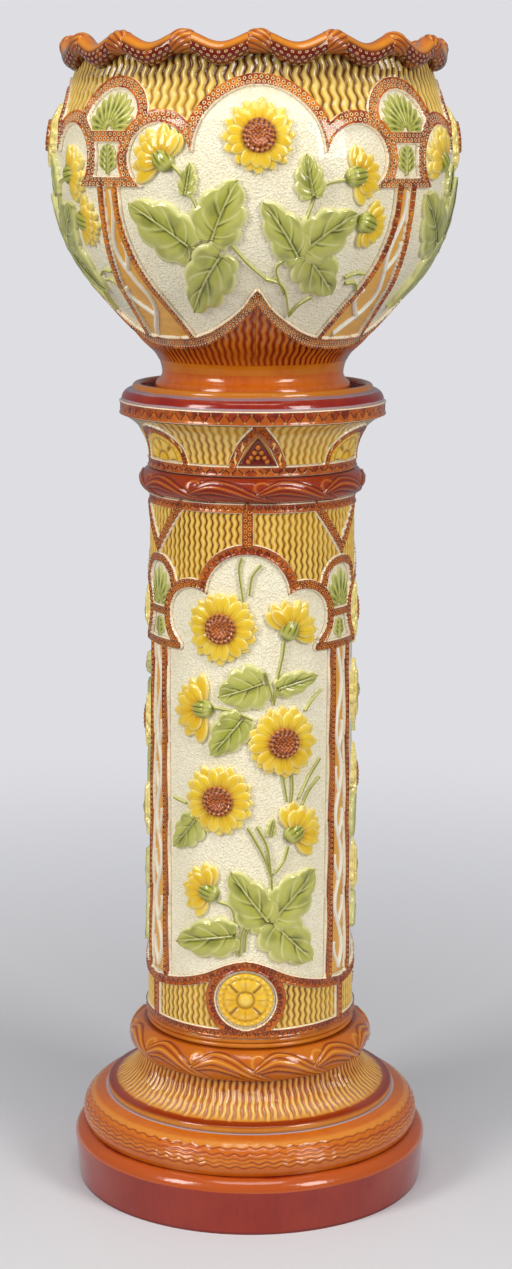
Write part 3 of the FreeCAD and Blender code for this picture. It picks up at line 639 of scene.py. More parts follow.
shaftArches = {"arch": ((0.0, 605.0), 43.0), "lobe": ((56.0, 584.0), 30.0), "above": 611.0,
               "pilaster": 80.0, "fanTop": 636.0, "fanMiddle": 104.7, "fanBend": 0.012,
               "ring": ((0.0, 210.5), 30.0), "border": ([0, 30, 60, 80, 110], [240, 232, 222, 217, 214])}
bowlArches = {"arch": ((0.0, 1016.0), 60.0), "lobe": ((91.0, 1011.0), 33.0), "above": 1036.0, "pilaster": 112.0,
              "fan": ((145.3, 1043.0), (36.0, 32.0), 0.94),
              "border": ([0, 12.5, 25, 40, 60, 82, 100, 150], [890, 877, 868, 861, 853, 847, 845, 843.5])}


def near(run, up, ring):
    (x, y), radius = ring
    return np.hypot(run - x, up - y) < radius


def shaftSpandrel(run, up):
    side, kit = np.abs(run), shaftArches
    fan = (side > kit["pilaster"]) & (up < kit["fanTop"] - kit["fanBend"] * (kit["fanMiddle"] - side) ** 2)
    return (up > kit["above"]) & ~near(run, up, kit["arch"]) & ~near(side, up, kit["lobe"]) & ~fan


def shaftFoot(run, up):
    return (up < np.interp(np.abs(run), *shaftArches["border"])) & ~near(run, up, shaftArches["ring"])


def bowlNeck(run, up):
    side, kit = np.abs(run), bowlArches
    (x, y), (wide, tall), share = kit["fan"]
    fan = (side > kit["pilaster"]) & (np.hypot((side - x) / wide, (up - y) / tall) < share)
    return (up > kit["above"]) & ~near(run, up, kit["arch"]) & ~near(side, up, kit["lobe"]) & ~fan


def bowlSkirt(run, up):
    return up < np.interp(np.abs(run), *bowlArches["border"])


# painted shade: the neck darkens towards the rim, under the rim's overhang
def neckPaintedShade(up):
    return smooth(1072.0, 1088.0, up) * 0.8


def skirtFade(up):
    return smooth(829.0, 842.0, up)


spandrelComb = combSettings(100.0, 99, 0.8, 10.5, 1.3)
neckComb = combSettings(185.0, 128, 1.2, 14.5, 1.7)
skirtComb = combSettings(185.0, 100, 1.1, 13.0, 1.7)
combMaterial = combedGlaze("combedOchre", spandrelComb, **ochreTones)
neckMaterial = combedGlaze("combedNeck", neckComb,
                           **tones((220, 177, 75), (97, 49, 8), (238, 215, 129), (197, 146, 40)))
skirtMaterial = combedGlaze("combedSkirt", skirtComb,
                            **tones((188, 86, 18), (98, 20, 6), (212, 122, 36), (160, 60, 14)))

for name, wall, low, high, keep, comb, material, body, slot, fade, paintedShade in (
        ("shaft_combed_spandrels", shaftWall, 606.0, 690.0, shaftSpandrel, spandrelComb, combMaterial,
         "stand", "ochre_glaze", None, None),
        ("shaft_combed_foot", shaftWall, 176.0, 240.0, shaftFoot, spandrelComb, combMaterial,
         "stand", "ochre_glaze", None, None),
        ("bowl_combed_neck", neckWall, 1036.0, 1104.0, bowlNeck, neckComb, neckMaterial,
         "jardiniere", "ochre_glaze", None, neckPaintedShade),
        ("bowl_combed_skirt", bowlWall, 822.0, 892.0, bowlSkirt, skirtComb, skirtMaterial,
         "jardiniere", "amber_glaze", skirtFade, None)):
    clay = Clay()
    combedField(wall, low, high, keep, clay, comb, fade, paintedShade)
    makePiece(name, clay, material, body, slot)


# ornaments: each is a patch of (along, across) on the wall, laid down at a place and a bearing

def laid(run, up, bearing, along, across):
    c, s = math.cos(math.radians(bearing)), math.sin(math.radians(bearing))
    return run + along * c + across * s, up + along * s - across * c


petal = {"rows": 11, "columns": 9, "shape": ([0, 0.2, 0.5, 0.75, 0.9, 1.0], [0.5, 0.78, 1.0, 0.86, 0.5, 0.06]),
         "crease": 0.5, "fold": 0.3, "foldAt": 0.55}


def addPetal(clay, wall, run, up, bearing, start, end, width, lift, crest, bend=0.0, dark=0.7):
    s, t = patch(petal["rows"], petal["columns"])
    side = 0.5 * width * np.interp(s, *petal["shape"]) * t
    along = start + (end - start) * s + 0 * t
    across = side + bend * (end - start) * s ** 2
    height = lift + crest * np.sin(math.pi * (0.18 + 0.66 * s)) * (1 - 0.5 * t ** 2)
    height = height - petal["crease"] * ridge(t, 0.2) * (1 - s)
    height = height - petal["fold"] * ridge(np.abs(t) - petal["foldAt"], 0.16) * (1 - s)
    deep = dark * smooth(0.5, 0.0, s) * (0.55 + 0.45 * ridge(t, 0.4)) + 0.5 * ridge(t, 0.12) * smooth(0.85,
                                                                                                      0.1, s)
    deep = deep + 0.25 * ridge(np.abs(t) - 0.5, 0.1) * smooth(0.7, 0.2, s)
    pale = 0.75 * smooth(0.62, 1.0, np.abs(t)) + 0.5 * smooth(0.75, 1.0, s) + 0 * s
    clay.relief(wall, *laid(run, up, bearing, along, across), height, deep=deep, pale=np.minimum(pale, 0.9),
                tone=chance.uniform(0.3, 0.62))


disc = {"rings": 20, "spokes": 108, "outer": (0.86, 0.09, 18), "inner": (0.68, 0.08, 14), "pit": 0.9,
        "seed": 0.55}  # a row of pits: where it lies, how wide, and how many


def addRound(clay, wall, run, up, radius, r, a, level, **values):
    points = clay.roundRelief(wall, run + radius * r * np.sin(a), up + radius * r * np.cos(a), level, 0.8,
                              **values)
    hub = np.vstack([points[0], wall.at(np.array([run]), np.array([up]), np.array([level[0, 0]]))])
    middle = len(points[0])
    ring = np.arange(middle)
    clay.add(hub, [np.stack([ring, (ring + 1) % middle, np.full(middle, middle)], -1)[:, ::-1]], pale=0.3)


def addDisc(clay, wall, run, up, radius, height):
    # a cushion of seeds: a sunk ring of dark pits round a grainy middle
    r, a = roundPatch(0.02, disc["rings"], disc["spokes"])
    (outer, outerWidth, outerPits), (inner, innerWidth, innerPits) = disc["outer"], disc["inner"]
    pits = (ridge(r - outer, outerWidth) * (0.5 + 0.5 * np.cos(outerPits * a))
            + ridge(r - inner, innerWidth) * (0.5 + 0.5 * np.cos(innerPits * a + 1.0)))
    east, north = radius * r * np.sin(a), radius * r * np.cos(a)
    seeds = np.sin(1.7 * east + 0.9 * np.sin(north)) * np.sin(1.8 * north + 0.8 * np.sin(1.3 * east))
    seeds = seeds * smooth(0.66, 0.56, r)
    dome = 0.62 + 0.38 * smooth(0.0, 0.62, r) - 0.1 * ridge(r - 0.72, 0.1) - 0.5 * smooth(0.84, 1.0, r) ** 2
    level = height * dome + disc["seed"] * seeds - disc["pit"] * pits
    deep = np.minimum(0.95 * pits + 0.55 * smooth(0.1, -0.6, seeds) * smooth(0.7, 0.6, r), 1.0)
    pale = 0.8 * (ridge(r - 0.77, 0.06) + ridge(r - 0.96, 0.05)) * (1 - pits) + 0.55 * smooth(0.25, 0.8, seeds)
    addRound(clay, wall, run, up, radius, r, a, level, deep=deep, pale=np.clip(pale, 0, 1))


leaf = {"rows": 72, "columns": 17, "veins": 4.4, "slant": 1.5, "tooth": 0.2, "teeth": 5, "quilt": 0.7,
        "rib": 0.8, "vein": 0.35, "lift": 3.2,
        "edge": [(-0.02, 0.04), (-0.1, 0.28), (-0.1, 0.62), (0.06, 0.93), (0.28, 1.02), (0.5, 0.93), (0.7, 0.7),
                 (0.87, 0.38), (1.0, 0.0)]}


def addLeaf(clay, wall, run, up, bearing, length, width, lift=leaf["lift"], bend=0.0):
    # two halves from the midrib to a lobed edge, quilted between slanting veins
    s, t = patch(leaf["rows"], leaf["columns"], 0)
    edge = curveThrough(leaf["edge"], leaf["rows"])
    lean, tone, start = chance.uniform(-0.12, 0.12), chance.uniform(0.42, 0.6), chance.uniform(0.0, 0.3)
    for side in (1, -1):
        scallop = np.abs(np.sin(math.pi * (leaf["teeth"] * s ** 0.85 + 0.12 * side))) ** 0.7
        swell = 1.0 + leaf["tooth"] * (scallop - 0.6) * smooth(0.02, 0.15, s) * smooth(1.0, 0.93, s)
        outX = edge[:, :1] * length * (1.0 + 0.3 * (swell - 1.0))
        outY = edge[:, 1:] * swell * 0.5 * width * (1 + lean * side)
        spine = length * smooth(0.0, 1.0, s) * (0.04 + 0.96 * s)
        reach = t ** 1.1
        along = spine * (1 - reach) + outX * reach
        across = side * outY * reach + bend * length * (along / length) ** 2
        phase = s * leaf["veins"] - leaf["slant"] * t ** 1.2 * (1 - 0.3 * s) + start + 0.25 * side
        vein = phase % 1.0 - 0.5
        shown = smooth(0.04, 0.14, s) * smooth(0.97, 0.85, s)
        sideVein = ridge(vein, 0.06) * smooth(0.01, 0.06, t) * smooth(0.9, 0.6, t) * shown
        gap = t * outY / (0.012 * length + 0.5)
        rib = ridge(gap, 0.75) * smooth(1.0, 0.9, s)
        quilt = leaf["quilt"] * np.cos(2 * math.pi * vein) * 4 * t * (1 - t) * shown
        crown = 1.5 * np.sin(math.pi * (0.12 + 0.66 * t)) - 1.5 * smooth(0.82, 1.0, t)
        height = lift + crown + leaf["rib"] * rib + leaf["vein"] * sideVein - 0.5 * quilt + 0.35 * side
        crease = ridge(vein + 0.14, 0.06) * smooth(0.02, 0.08, t) * smooth(0.62, 0.25, t) * shown
        blotch = np.sin(along / 7.0 + 40 * lean) * np.sin(outY * t / 5.5 + 9 * start + side)
        groove = ridge(gap - 1.7, 0.7) * smooth(0.95, 0.7, s)
        deep = 0.4 * smooth(0.2, 0.9, blotch) + 0.8 * crease + 0.75 * groove + 0.25 * smooth(0.3, 0.0, s)
        pale = 0.85 * rib + 0.6 * sideVein + 0.85 * smooth(0.8, 0.97, t) + 0.22 * smooth(0.2, 0.6, t)
        deep, pale = np.minimum(deep, 0.95), np.minimum(pale, 1.0)
        along, across, height, deep, pale = [
            layer[:, ::side] for layer in np.broadcast_arrays(along, across, height, deep * (1 - pale), pale)]
        clay.relief(wall, *laid(run, up, bearing, along, across), height, joined=0 if side > 0 else -1,
                    deep=deep, pale=pale, tone=tone)


def addStem(clay, wall, points, width=3.2, height=2.8, narrow=0.6, shift=0.0, samples=26):
    line = curveThrough([(run + shift, up) for run, up in points], samples)
    way = np.gradient(line, axis=0)
    way /= np.hypot(way[:, 0], way[:, 1])[:, None]
    s, t = patch(samples, 7)
    half = 0.5 * width * (1 - narrow * 0.5 * s)
    run = line[:, :1] + way[:, 1:] * t * half
    up = line[:, 1:] - way[:, :1] * t * half
    level = 0.6 + height * np.sqrt(1 - 0.92 * t ** 2) + 0 * s
    clay.relief(wall, run, up, level, deep=0.6 * ridge(t - 0.25, 0.4), pale=0.75 * smooth(0.45, 0.75, abs(t)),
                tone=0.55)


calyx = {"rows": 16, "columns": 17, "radius": 10.0, "height": 7.0, "sepals": 2.0, "groove": 0.6,
         "shape": ([0, 0.18, 0.45, 0.75, 1.0], [0.28, 0.72, 0.98, 1.0, 0.8])}


def addCalyx(clay, wall, run, up, bearing):
    s, t = patch(calyx["rows"], calyx["columns"])
    radius = calyx["radius"]
    half = radius * np.interp(s, *calyx["shape"])
    sepal = np.abs(np.sin(math.pi * calyx["sepals"] * (t + 1)))
    along = radius * (-1.0 + 1.75 * s + 0.3 * smooth(0.6, 1.0, s) * sepal)
    dome = np.sqrt(np.clip(1 - 0.93 * t ** 2, 0, 1))
    level = 1.5 + calyx["height"] * dome * np.sin(math.pi * (0.16 + 0.62 * s))
    groove = ridge(np.abs((t * 2 + 0.5) % 1.0 - 0.5) - 0.5, 0.12)
    deep = np.minimum(0.85 * groove * smooth(0.2, 0.6, s) + 0.5 * smooth(0.15, 0.0, s), 0.9)
    pale = 0.6 * smooth(0.85, 1.0, s) + 0.35 * ridge(s - 0.25, 0.12)
    clay.relief(wall, *laid(run, up, bearing, along, half * t), level - calyx["groove"] * groove,
                deep=deep * (1 - 0.5 * pale), pale=pale, tone=0.45)


# where the sprays lie: (run, up) of a flower; (run, up, bearing, radius) of one seen from the side;
# (run, up, bearing, length, width) of a leaf; (run, up, bearing) of a bud; three points of a stem

shaftSpray = {
    "flowers": [(-25.0, 574.8), (35.0, 464.6), (-27.0, 407.6)], "radius": 36.0,
    "side": [(41.1, 572.8, 62, 31), (-43.0, 495.9, 178, 33), (46.3, 374.7, 35, 32), (-36.0, 316.2, 160, 29)],
    "leaves": [(14.0, 523.1, 202, 44, 42), (31.0, 517.9, 14, 41, 22), (-5.0, 487.1, 233, 46, 34),
               (-50.1, 386.2, 233, 40, 30), (-13.0, 274.9, 190, 61, 38), (20.0, 290.0, 127, 60, 40),
               (26.0, 292.1, 44, 62, 44), (27.0, 286.9, -50, 57, 46)],
    "buds": [(23.0, 375.2, 80)],
    "stems": [((36.0, 562.8), (34.0, 548.2), (30.5, 532.5)), ((30.5, 532.5), (28.0, 517.9), (26.0, 501.7)),
              ((17.5, 533.0), (22.0, 516.8), (26.0, 501.7)), ((-32.0, 498.0), (-12.0, 494.9), (5.6, 487.6)),
              ((34.7, 432.2), (37.0, 418.1), (39.0, 406.6)), ((44.0, 432.2), (44.5, 418.1), (43.0, 402.9)),
              ((75.5, 445.2), (62.0, 428.0), (51.0, 408.1)), ((74.7, 427.0), (63.0, 416.0), (54.7, 401.9)),
              ((58.0, 493.8), (66.0, 503.8), (77.0, 512.1)), ((40.5, 362.1), (36.0, 348.0), (26.0, 335.0)),
              ((1.3, 382.0), (15.0, 356.9), (24.0, 332.9)), ((10.1, 383.1), (20.0, 362.1), (24.5, 328.2)),
              ((-27.0, 307.8), (-13.0, 301.0), (-8.7, 270.2)), ((-8.7, 290.0), (-10.1, 271.7), (-8.7, 255.0)),
              ((22.0, 286.9), (3.0, 281.1), (-1.0, 259.2)), ((2.0, 290.0), (-4.0, 275.9), (-5.3, 255.0)),
              ((-5.3, 642.3), (-7.7, 630.2), (-3.7, 601.5)), ((13.0, 636.0), (4.7, 625.0), (2.0, 606.7)),
              ((-78.0, 404.0), (-70.1, 402.4), (-62.0, 400.8)), ((24.0, 332.9), (25.0, 309.9), (26.0, 290.0))]}
bowlSpray = {
    "flowers": [(0.0, 1030.1)], "radius": 32.5,
    "side": [(-85.0, 1008.8, 128, 32), (87.5, 996.0, 12, 27), (102.0, 955.1, -18, 24)],
    "leaves": [(-42.0, 942.1, 68, 56, 46), (-66.0, 936.1, 143, 66, 48), (-36.0, 925.9, 230, 66, 46),
               (37.1, 927.0, 123, 58, 34), (44.0, 933.0, 38, 56, 44), (46.1, 927.9, -46, 52, 42),
               (46.9, 980.1, 104, 36, 26), (-63.9, 981.0, 76, 27, 16)],
    "buds": [],
    "stems": [((-77.4, 1006.0), (-67.6, 994.9), (-60.0, 978.1)), ((77.4, 992.6), (60.0, 988.9), (49.0, 977.0)),
              ((-67.6, 936.1), (-50.0, 929.9), (-27.5, 938.9)), ((-27.5, 938.9), (-10.0, 919.9), (7.6, 906.0)),
              ((7.6, 906.0), (27.0, 898.9), (41.0, 871.1)), ((32.5, 927.0), (18.0, 915.1), (29.1, 892.1)),
              ((62.5, 889.0), (50.0, 881.9), (41.6, 871.9)), ((94.0, 906.0), (105.1, 910.0), (117.5, 909.1)),
              ((97.5, 900.9), (110.0, 900.9), (119.0, 891.0)), ((-27.5, 938.9), (-47.9, 958.0), (-60.0, 978.1)),
              ((36.0, 929.9), (42.0, 955.1), (49.0, 977.0)), ((44.0, 935.0), (75.0, 955.1), (97.9, 952.9))]}

# a sunflower's rings: offset, lift, crest, reach and width; a side flower's: lift, reach, spread and petals
sunflower = {"petals": 16, "start": 0.3, "disc": 15.2, "discHeight": 8.6,
             "rings": [(0.0, 2.2, 1.8, 1.0, 0.36), (0.5, 3.6, 2.2, 0.9, 0.34)]}
sideFlower = {"start": 5.0, "width": 0.42, "crest": 2.2, "dark": 0.5,
              "rings": [(2.4, 1.0, 84, 8), (4.2, 0.84, 64, 6)]}
bud = {"length": 16.0, "width": 9.0, "lift": 2.6}


def addSunflower(petals, centres, wall, run, up, radius):
    for offset, lift, crest, reach, width in sunflower["rings"]:
        for number in range(sunflower["petals"]):
            bearing = (number + offset) * 360.0 / sunflower["petals"] + chance.uniform(-4, 4)
            end = radius * reach * chance.uniform(0.93, 1.03)
            addPetal(petals, wall, run, up, bearing, sunflower["start"] * radius, end,
                     width * radius * chance.uniform(0.9, 1.1), lift, crest, chance.uniform(-0.08, 0.08))
    addDisc(centres, wall, run, up, sunflower["disc"], sunflower["discHeight"])


def addSideFlower(petals, calyxes, wall, run, up, bearing, radius):
    for lift, reach, spread, count in sideFlower["rings"]:
        for number in range(count):
            turn = bearing + spread * (2 * number / (count - 1) - 1) + chance.uniform(-4, 4)
            end = radius * reach * chance.uniform(0.9, 1.04)
            addPetal(petals, wall, run, up, turn, sideFlower["start"], end, sideFlower["width"] * radius, lift,
                     sideFlower["crest"], chance.uniform(-0.1, 0.1), sideFlower["dark"])
    addCalyx(calyxes, wall, run, up, bearing)


for label, wall, body, spray in (("shaft", shaftWall, "stand", shaftSpray),
                                 ("bowl", bowlWall, "jardiniere", bowlSpray)):
    pots = {name: Clay() for name in ("sunflowers", "flower_centres", "side_flowers", "calyxes", "leaves",
                                      "stems")}
    for shift in wall.copies():
        for run, up in spray["flowers"]:
            addSunflower(pots["sunflowers"], pots["flower_centres"], wall, run + shift, up, spray["radius"])
        for run, up, bearing, radius in spray["side"]:
            addSideFlower(pots["side_flowers"], pots["calyxes"], wall, run + shift, up, bearing, radius)
        for run, up, bearing, length, width in spray["leaves"]:
            addLeaf(pots["leaves"], wall, run + shift, up, bearing, length, width,
                    bend=chance.uniform(-0.08, 0.08))
        for run, up, bearing in spray["buds"]:
            addLeaf(pots["stems"], wall, run + shift, up, bearing, *bud.values())
        for points in spray["stems"]:
            addStem(pots["stems"], wall, points, shift=shift)
    for name, clay in pots.items():
        material, slot = {"sunflowers": (petalMaterial, "yellow_glaze"),
                          "side_flowers": (petalMaterial, "yellow_glaze"),
                          "flower_centres": (seedMaterial, "disc_glaze")}.get(name,
                                                                              (leafMaterial, "green_glaze"))
        makePiece(label + "_" + name + "_glazed", clay, material, body, slot, label + "_" + name)
print("sprays laid")


# leaf fans and sprigs on the pilasters, vines below them

palmettes = {
    "shaft": {"wall": shaftWall, "middle": 104.7, "fan": 590.5, "sprig": 559.0, "body": "stand",
              "leaflets": [(0, 37, 8.0), (17, 33, 7.0), (35, 27, 7.0), (55, 21, 6.5), (78, 18, 6.0)],
              "pairs": [(2.0, 11.0), (7.0, 9.5), (12.0, 7.5)], "stalk": 19.0},
    "bowl": {"wall": bowlWall, "middle": 145.3, "fan": 1036.0, "sprig": 996.8, "body": "jardiniere",
             "leaflets": [(0, 33, 7.4), (17, 33, 7.2), (34, 31.5, 7.2), (51, 30, 7.0), (68, 28, 7.0),
                          (86, 25, 6.5)],
             "pairs": [(1.5, 14.0), (7.0, 14.0), (12.5, 12.5), (18.0, 9.0)], "stalk": 26.0}}
leaflet = {"rows": 17, "columns": 9, "shape": ([0, 0.2, 0.5, 0.78, 0.93, 1.0],
                                               [0.22, 0.5, 0.92, 1.0, 0.6, 0.08]),
           "dash": 0.8, "dashes": 15.0}


def addLeaflet(clay, wall, run, up, bearing, start, length, width, lift=1.6, crest=1.5):
    s, t = patch(leaflet["rows"], leaflet["columns"])
    half = 0.5 * width * np.interp(s, *leaflet["shape"])
    along = start + (length - start) * s + 0 * t
    broken = 0.35 + 0.65 * smooth(-0.3, 0.3, np.sin(s * leaflet["dashes"]))
    dash = ridge(t, 0.34) * smooth(0.12, 0.2, s) * smooth(0.8, 0.7, s) * broken
    height = lift + crest * (1 - 0.6 * t ** 2) * np.sin(math.pi * (0.12 + 0.8 * s)) - leaflet["dash"] * dash
    pale = 0.85 * smooth(0.55, 0.95, np.abs(t)) + 0.7 * smooth(0.86, 1.0, s)
    clay.relief(wall, *laid(run, up, bearing, along, half * t), height, deep=0.9 * dash,
                pale=np.minimum(pale, 0.9), tone=0.55)


for label, kit in palmettes.items():
    clay, wall, sprig, stalk = Clay(), kit["wall"], kit["sprig"], kit["stalk"]
    for shift in wall.copies():
        middle = kit["middle"] + shift
        for lean, length, width in kit["leaflets"]:
            for side in ((1, -1) if lean else (1,)):
                addLeaflet(clay, wall, middle + side * 0.4, kit["fan"], 90 - side * lean, 3.0, length, width)
        line = [(middle, sprig), (middle + 0.3, sprig + 0.5 * stalk), (middle, sprig + stalk)]
        addStem(clay, wall, line, 4.4, 2.4)
        for foot, length in kit["pairs"]:
            for side in (1, -1):
                addLeaflet(clay, wall, middle, sprig + foot, 90 - side * 46, 0.8, length, 6.2, 1.2, 1.2)
        addLeaflet(clay, wall, middle, sprig + 0.6 * stalk, 90, 0.5, 0.42 * stalk, 5.0, 1.2, 1.2)
    makePiece(label + "_palmettes_glazed", clay, leafMaterial, kit["body"], "green_glaze", label + "_palmettes")


vines = {
    "shaft": {"wall": shaftWall, "middle": 104.7, "low": 229.0, "high": 549.0, "body": "stand", "wave": 88.0,
              "start": 0.0, "swing": ([229, 549], [6.4, 4.2]), "width": 4.3, "narrow": 0.15,
              "field": ([224, 229, 549, 553], [12.5, 12.2, 8.0, 7.8])},
    "bowl": {"wall": bowlWall, "middle": 145.3, "low": 852.0, "high": 983.0, "body": "jardiniere", "wave": 84.0,
             "start": 1.2, "swing": ([852, 872, 900, 983], [24.0, 15.0, 7.0, 2.6]), "width": 6.0, "narrow": 0.9,
             "field": ([846, 862, 878, 896, 915, 938, 960, 988],
                       [49.3, 40.8, 32.3, 24.3, 17.3, 12.3, 9.5, 9.1])}}
prong = {"rise": 0.06, "up": np.array([0.0, 1.6, 3.0, 4.4, 5.3]),
         "out": np.array([-0.1, 0.35, 0.75, 0.95, 0.85]),
         "width": 0.8, "narrow": 0.5}  # shares of a wave, of the room beside the vine and of its width
vineHeight = 2.6
vineMaterial = glaze("vineGroundGlaze", **tones((228, 170, 70), (160, 96, 26), (242, 206, 120), (218, 150, 48)))

for label, kit in vines.items():
    ground, clay = Clay(), Clay()
    wall, wave, low = kit["wall"], kit["wave"], kit["low"]
    for shift in wall.copies():
        middle = kit["middle"] + shift
        up = np.linspace(kit["field"][0][0], kit["field"][0][-1], 90)[:, None]
        half = np.interp(up, *kit["field"])
        side = np.linspace(-1, 1, 13)[None, :] * half
        ground.relief(wall, middle + side, up + 0 * side, 0.5 + 0.25 * np.sin(up * 0.9 + side), sink=0.6,
                      deep=0.35 * smooth(0.55, 1.0, np.abs(side) / half), tone=0.5)
        level = np.linspace(low, kit["high"], 40)
        phase = fullTurn * (level - low) / wave - kit["start"]
        drift = np.interp(level, *kit["swing"]) * np.sin(phase)
        addStem(clay, wall, np.stack([middle + drift, level], -1), kit["width"], vineHeight, kit["narrow"],
                samples=150)
        for number in range(int((kit["high"] - low) / (0.5 * wave) - 0.4)):
            foot = low + (0.5 * number + kit["start"] / fullTurn) * wave + prong["rise"] * wave * prong["up"]
            room = np.interp(foot, *kit["field"]) - prong["width"] * kit["width"]
            side = 1 if number % 2 else -1
            line = np.stack([middle + side * room * prong["out"], foot], -1)
            addStem(clay, wall, line, prong["width"] * kit["width"], vineHeight, prong["narrow"], samples=20)
    makePiece(label + "_vine_grounds", ground, vineMaterial, kit["body"], "ochre_glaze")
    makePiece(label + "_scrolls_glazed", clay, milkMaterial, kit["body"], "pale_glaze", label + "_scrolls")
print("pilasters dressed")


# rosettes in the rings at the foot of the shaft

rosette = {"radius": 27.0, "middle": 210.5, "rings": 44, "spokes": 160, "slit": 1.3, "moat": 1.0, "beads": 24,
           "lobe": 0.9, "height": 3.0}


def crossed(a, r, offset):
    # how far a place lies from the nearest of four spokes
    quarter = math.pi / 2
    return np.abs((a / quarter + offset) % 1.0 - 0.5) * quarter * np.maximum(r, 0.05)


clay = Clay()
for shift in shaftWall.copies():
    r, a = roundPatch(0.0, rosette["rings"], rosette["spokes"])
    slit = ridge(crossed(a, r, 0.0), 0.055) * smooth(0.32, 0.42, r) * smooth(0.8, 0.72, r)
    crease = ridge(crossed(a, r, 0.5), 0.03) * smooth(0.34, 0.45, r) * smooth(0.74, 0.66, r)
    lobes = np.abs(np.cos(4 * a))
    boss = smooth(0.24, 0.12, r)
    moat = ridge(r - 0.3, 0.045)
    beads = ridge(r - 0.89, 0.05) * smooth(-0.2, 0.7, np.cos(rosette["beads"] * a))
    gutter = ridge(r - 0.79, 0.035)
    height = (rosette["height"] + 1.0 * boss + rosette["lobe"] * lobes * smooth(0.32, 0.5, r) * smooth(0.78,
                                                                                                       0.66, r)
              - rosette["slit"] * slit - rosette["moat"] * moat)
    height = height - 0.4 * crease + 0.9 * beads - 0.8 * gutter - 2.2 * smooth(0.95, 1.0, r) ** 2
    deep = (0.85 * slit + 0.7 * moat + 0.45 * gutter * (0.5 + 0.5 * np.cos(rosette["beads"] * a)) + 0.4 * crease
            + 0.6 * smooth(0.97, 1.0, r))
    pale = 0.6 * beads + 0.5 * boss + 0.4 * lobes * smooth(0.5, 0.6, r) * smooth(0.75, 0.65, r)
    deep, pale = np.minimum(deep, 0.95), np.minimum(pale, 0.9)
    run = shift + rosette["radius"] * r * np.sin(a)
    up = rosette["middle"] + rosette["radius"] * r * np.cos(a)
    clay.roundRelief(shaftWall, run, up, height, 0.6, deep=deep, pale=pale * (1 - deep))
makePiece("shaft_rosettes_glazed", clay, lemonMaterial, "stand", "yellow_glaze", "shaft_rosettes")


# turned mouldings: a worked outer face with a plain lining behind it

class Moulding:
    def __init__(self, outline, rows, girth):
        outline = np.array(outline, float)
        steps = np.concatenate([[0.0], np.cumsum(legLengths(outline))])
        spots = np.linspace(0, steps[-1], rows)
        line = np.stack([np.interp(spots, steps, column) for column in outline.T], -1)
        self.wall = Wall(line, girth, byLevel=False)
        self.rows, self.length = rows, steps[-1]

    def build(self, clay, columns, work, lining):
        # work gives the height off the outline and the glaze for each place; the lining closes the ring behind
        run = np.linspace(0, fullTurn * self.wall.girth, columns, endpoint=False)[None, :]
        up = np.linspace(0, self.length, self.rows)[:, None]
        run, up = np.broadcast_arrays(run, up)
        height, values = work(run, up)
        bearing = run[0] / self.wall.girth
        behind = np.stack([turned(radius, bearing, 0 * bearing + level) for radius, level in lining])
        plain = np.zeros((len(lining), columns))
        values = {name: np.concatenate([value + 0 * run, plain]) for name, value in values.items()}
        points = np.concatenate([self.wall.at(run, up, height), behind])
        clay.grid(points, wrapColumns=True, wrapRows=True, **values)


def makeMoulding(name, kit, work, material, slot, node):
    clay = Clay()
    Moulding(kit["outline"], kit["rows"], kit["girth"]).build(clay, kit["columns"], work, kit["lining"])
    makePiece(name, clay, material, "stand", slot, node)


# the big half-round with combed waves; distances up it are along its outline, in mm

torusArc = arcVia((165.2, 56.0), (164.0, 79.5), (146.0, 90.0), 40)
torus = {"outline": np.vstack([[(158.0, 55.2), (165.0, 55.2)], torusArc, [(143.0, 90.0)]]), "rows": 66,
         "girth": 155.0, "columns": 864, "lining": [(125.6, 90.0), (125.6, 55.2)],
         "lines": [11.0, 15.0, 19.0, 23.2, 29.5], "waves": 72, "sway": 1.25, "groove": 0.75, "depth": 0.9,
         "from": 7.0, "ridge": 0.3}
torusEnd = legLengths(torus["outline"]).sum()


def torusWork(run, up):
    height, deep = np.zeros_like(run), np.zeros_like(run)
    wave = fullTurn * torus["girth"] / torus["waves"]
    for number, line in enumerate(torus["lines"]):
        swing = np.sin(fullTurn * run / wave + number * 0.3 + 0.7 * np.sin(run / 37.0 + 0.3 * number))
        swing = torus["sway"] * swing * (0.7 + 0.3 * np.sin(run / 29.0 + 2 * number))
        swing = swing + 0.5 * np.sin(run / 61.0 + 0.4 * number)
        cut = ridge(up - line - swing - torus["from"], torus["groove"])
        shown = 0.55 + 0.45 * np.sin(run / 45.0 + 1.7 * number)
        beside = ridge(up - line - swing - torus["from"] - 1.6, 0.9)
        height = height - torus["depth"] * cut + torus["ridge"] * beside
        deep = deep + cut * (0.35 + 0.5 * shown)
    pale = 0.5 * smooth(34, 38, up) * smooth(46, 41, up) + 0.25 * smooth(17, 20, up) * smooth(30, 24, up)
    # painted shade: deep darkens the torus's foot, in the gap above the plinth
    return height, {"deep": np.minimum(deep + 0.85 * smooth(9.0, 6.8, up), 1.0),
                    "pale": pale * (1 - np.minimum(deep, 1)), "tone": 0.5 - 0.12 * smooth(22, 12, up),
                    # kind: the bluish-white line where the torus meets the lip, pooled glaze with a painted
                    # highlight
                    "kind": 0.9 * smooth(torusEnd - 3.4, torusEnd - 1.8, up)}


torusMaterial = glaze("torusGlaze", streak=0.35,
                      **tones((201, 106, 20), (123, 29, 5), (226, 154, 61), (187, 80, 13)))
makeMoulding("base_torus_glazed", torus, torusWork, torusMaterial, "amber_glaze", "base_torus")


# the lip and the reeded flare above it

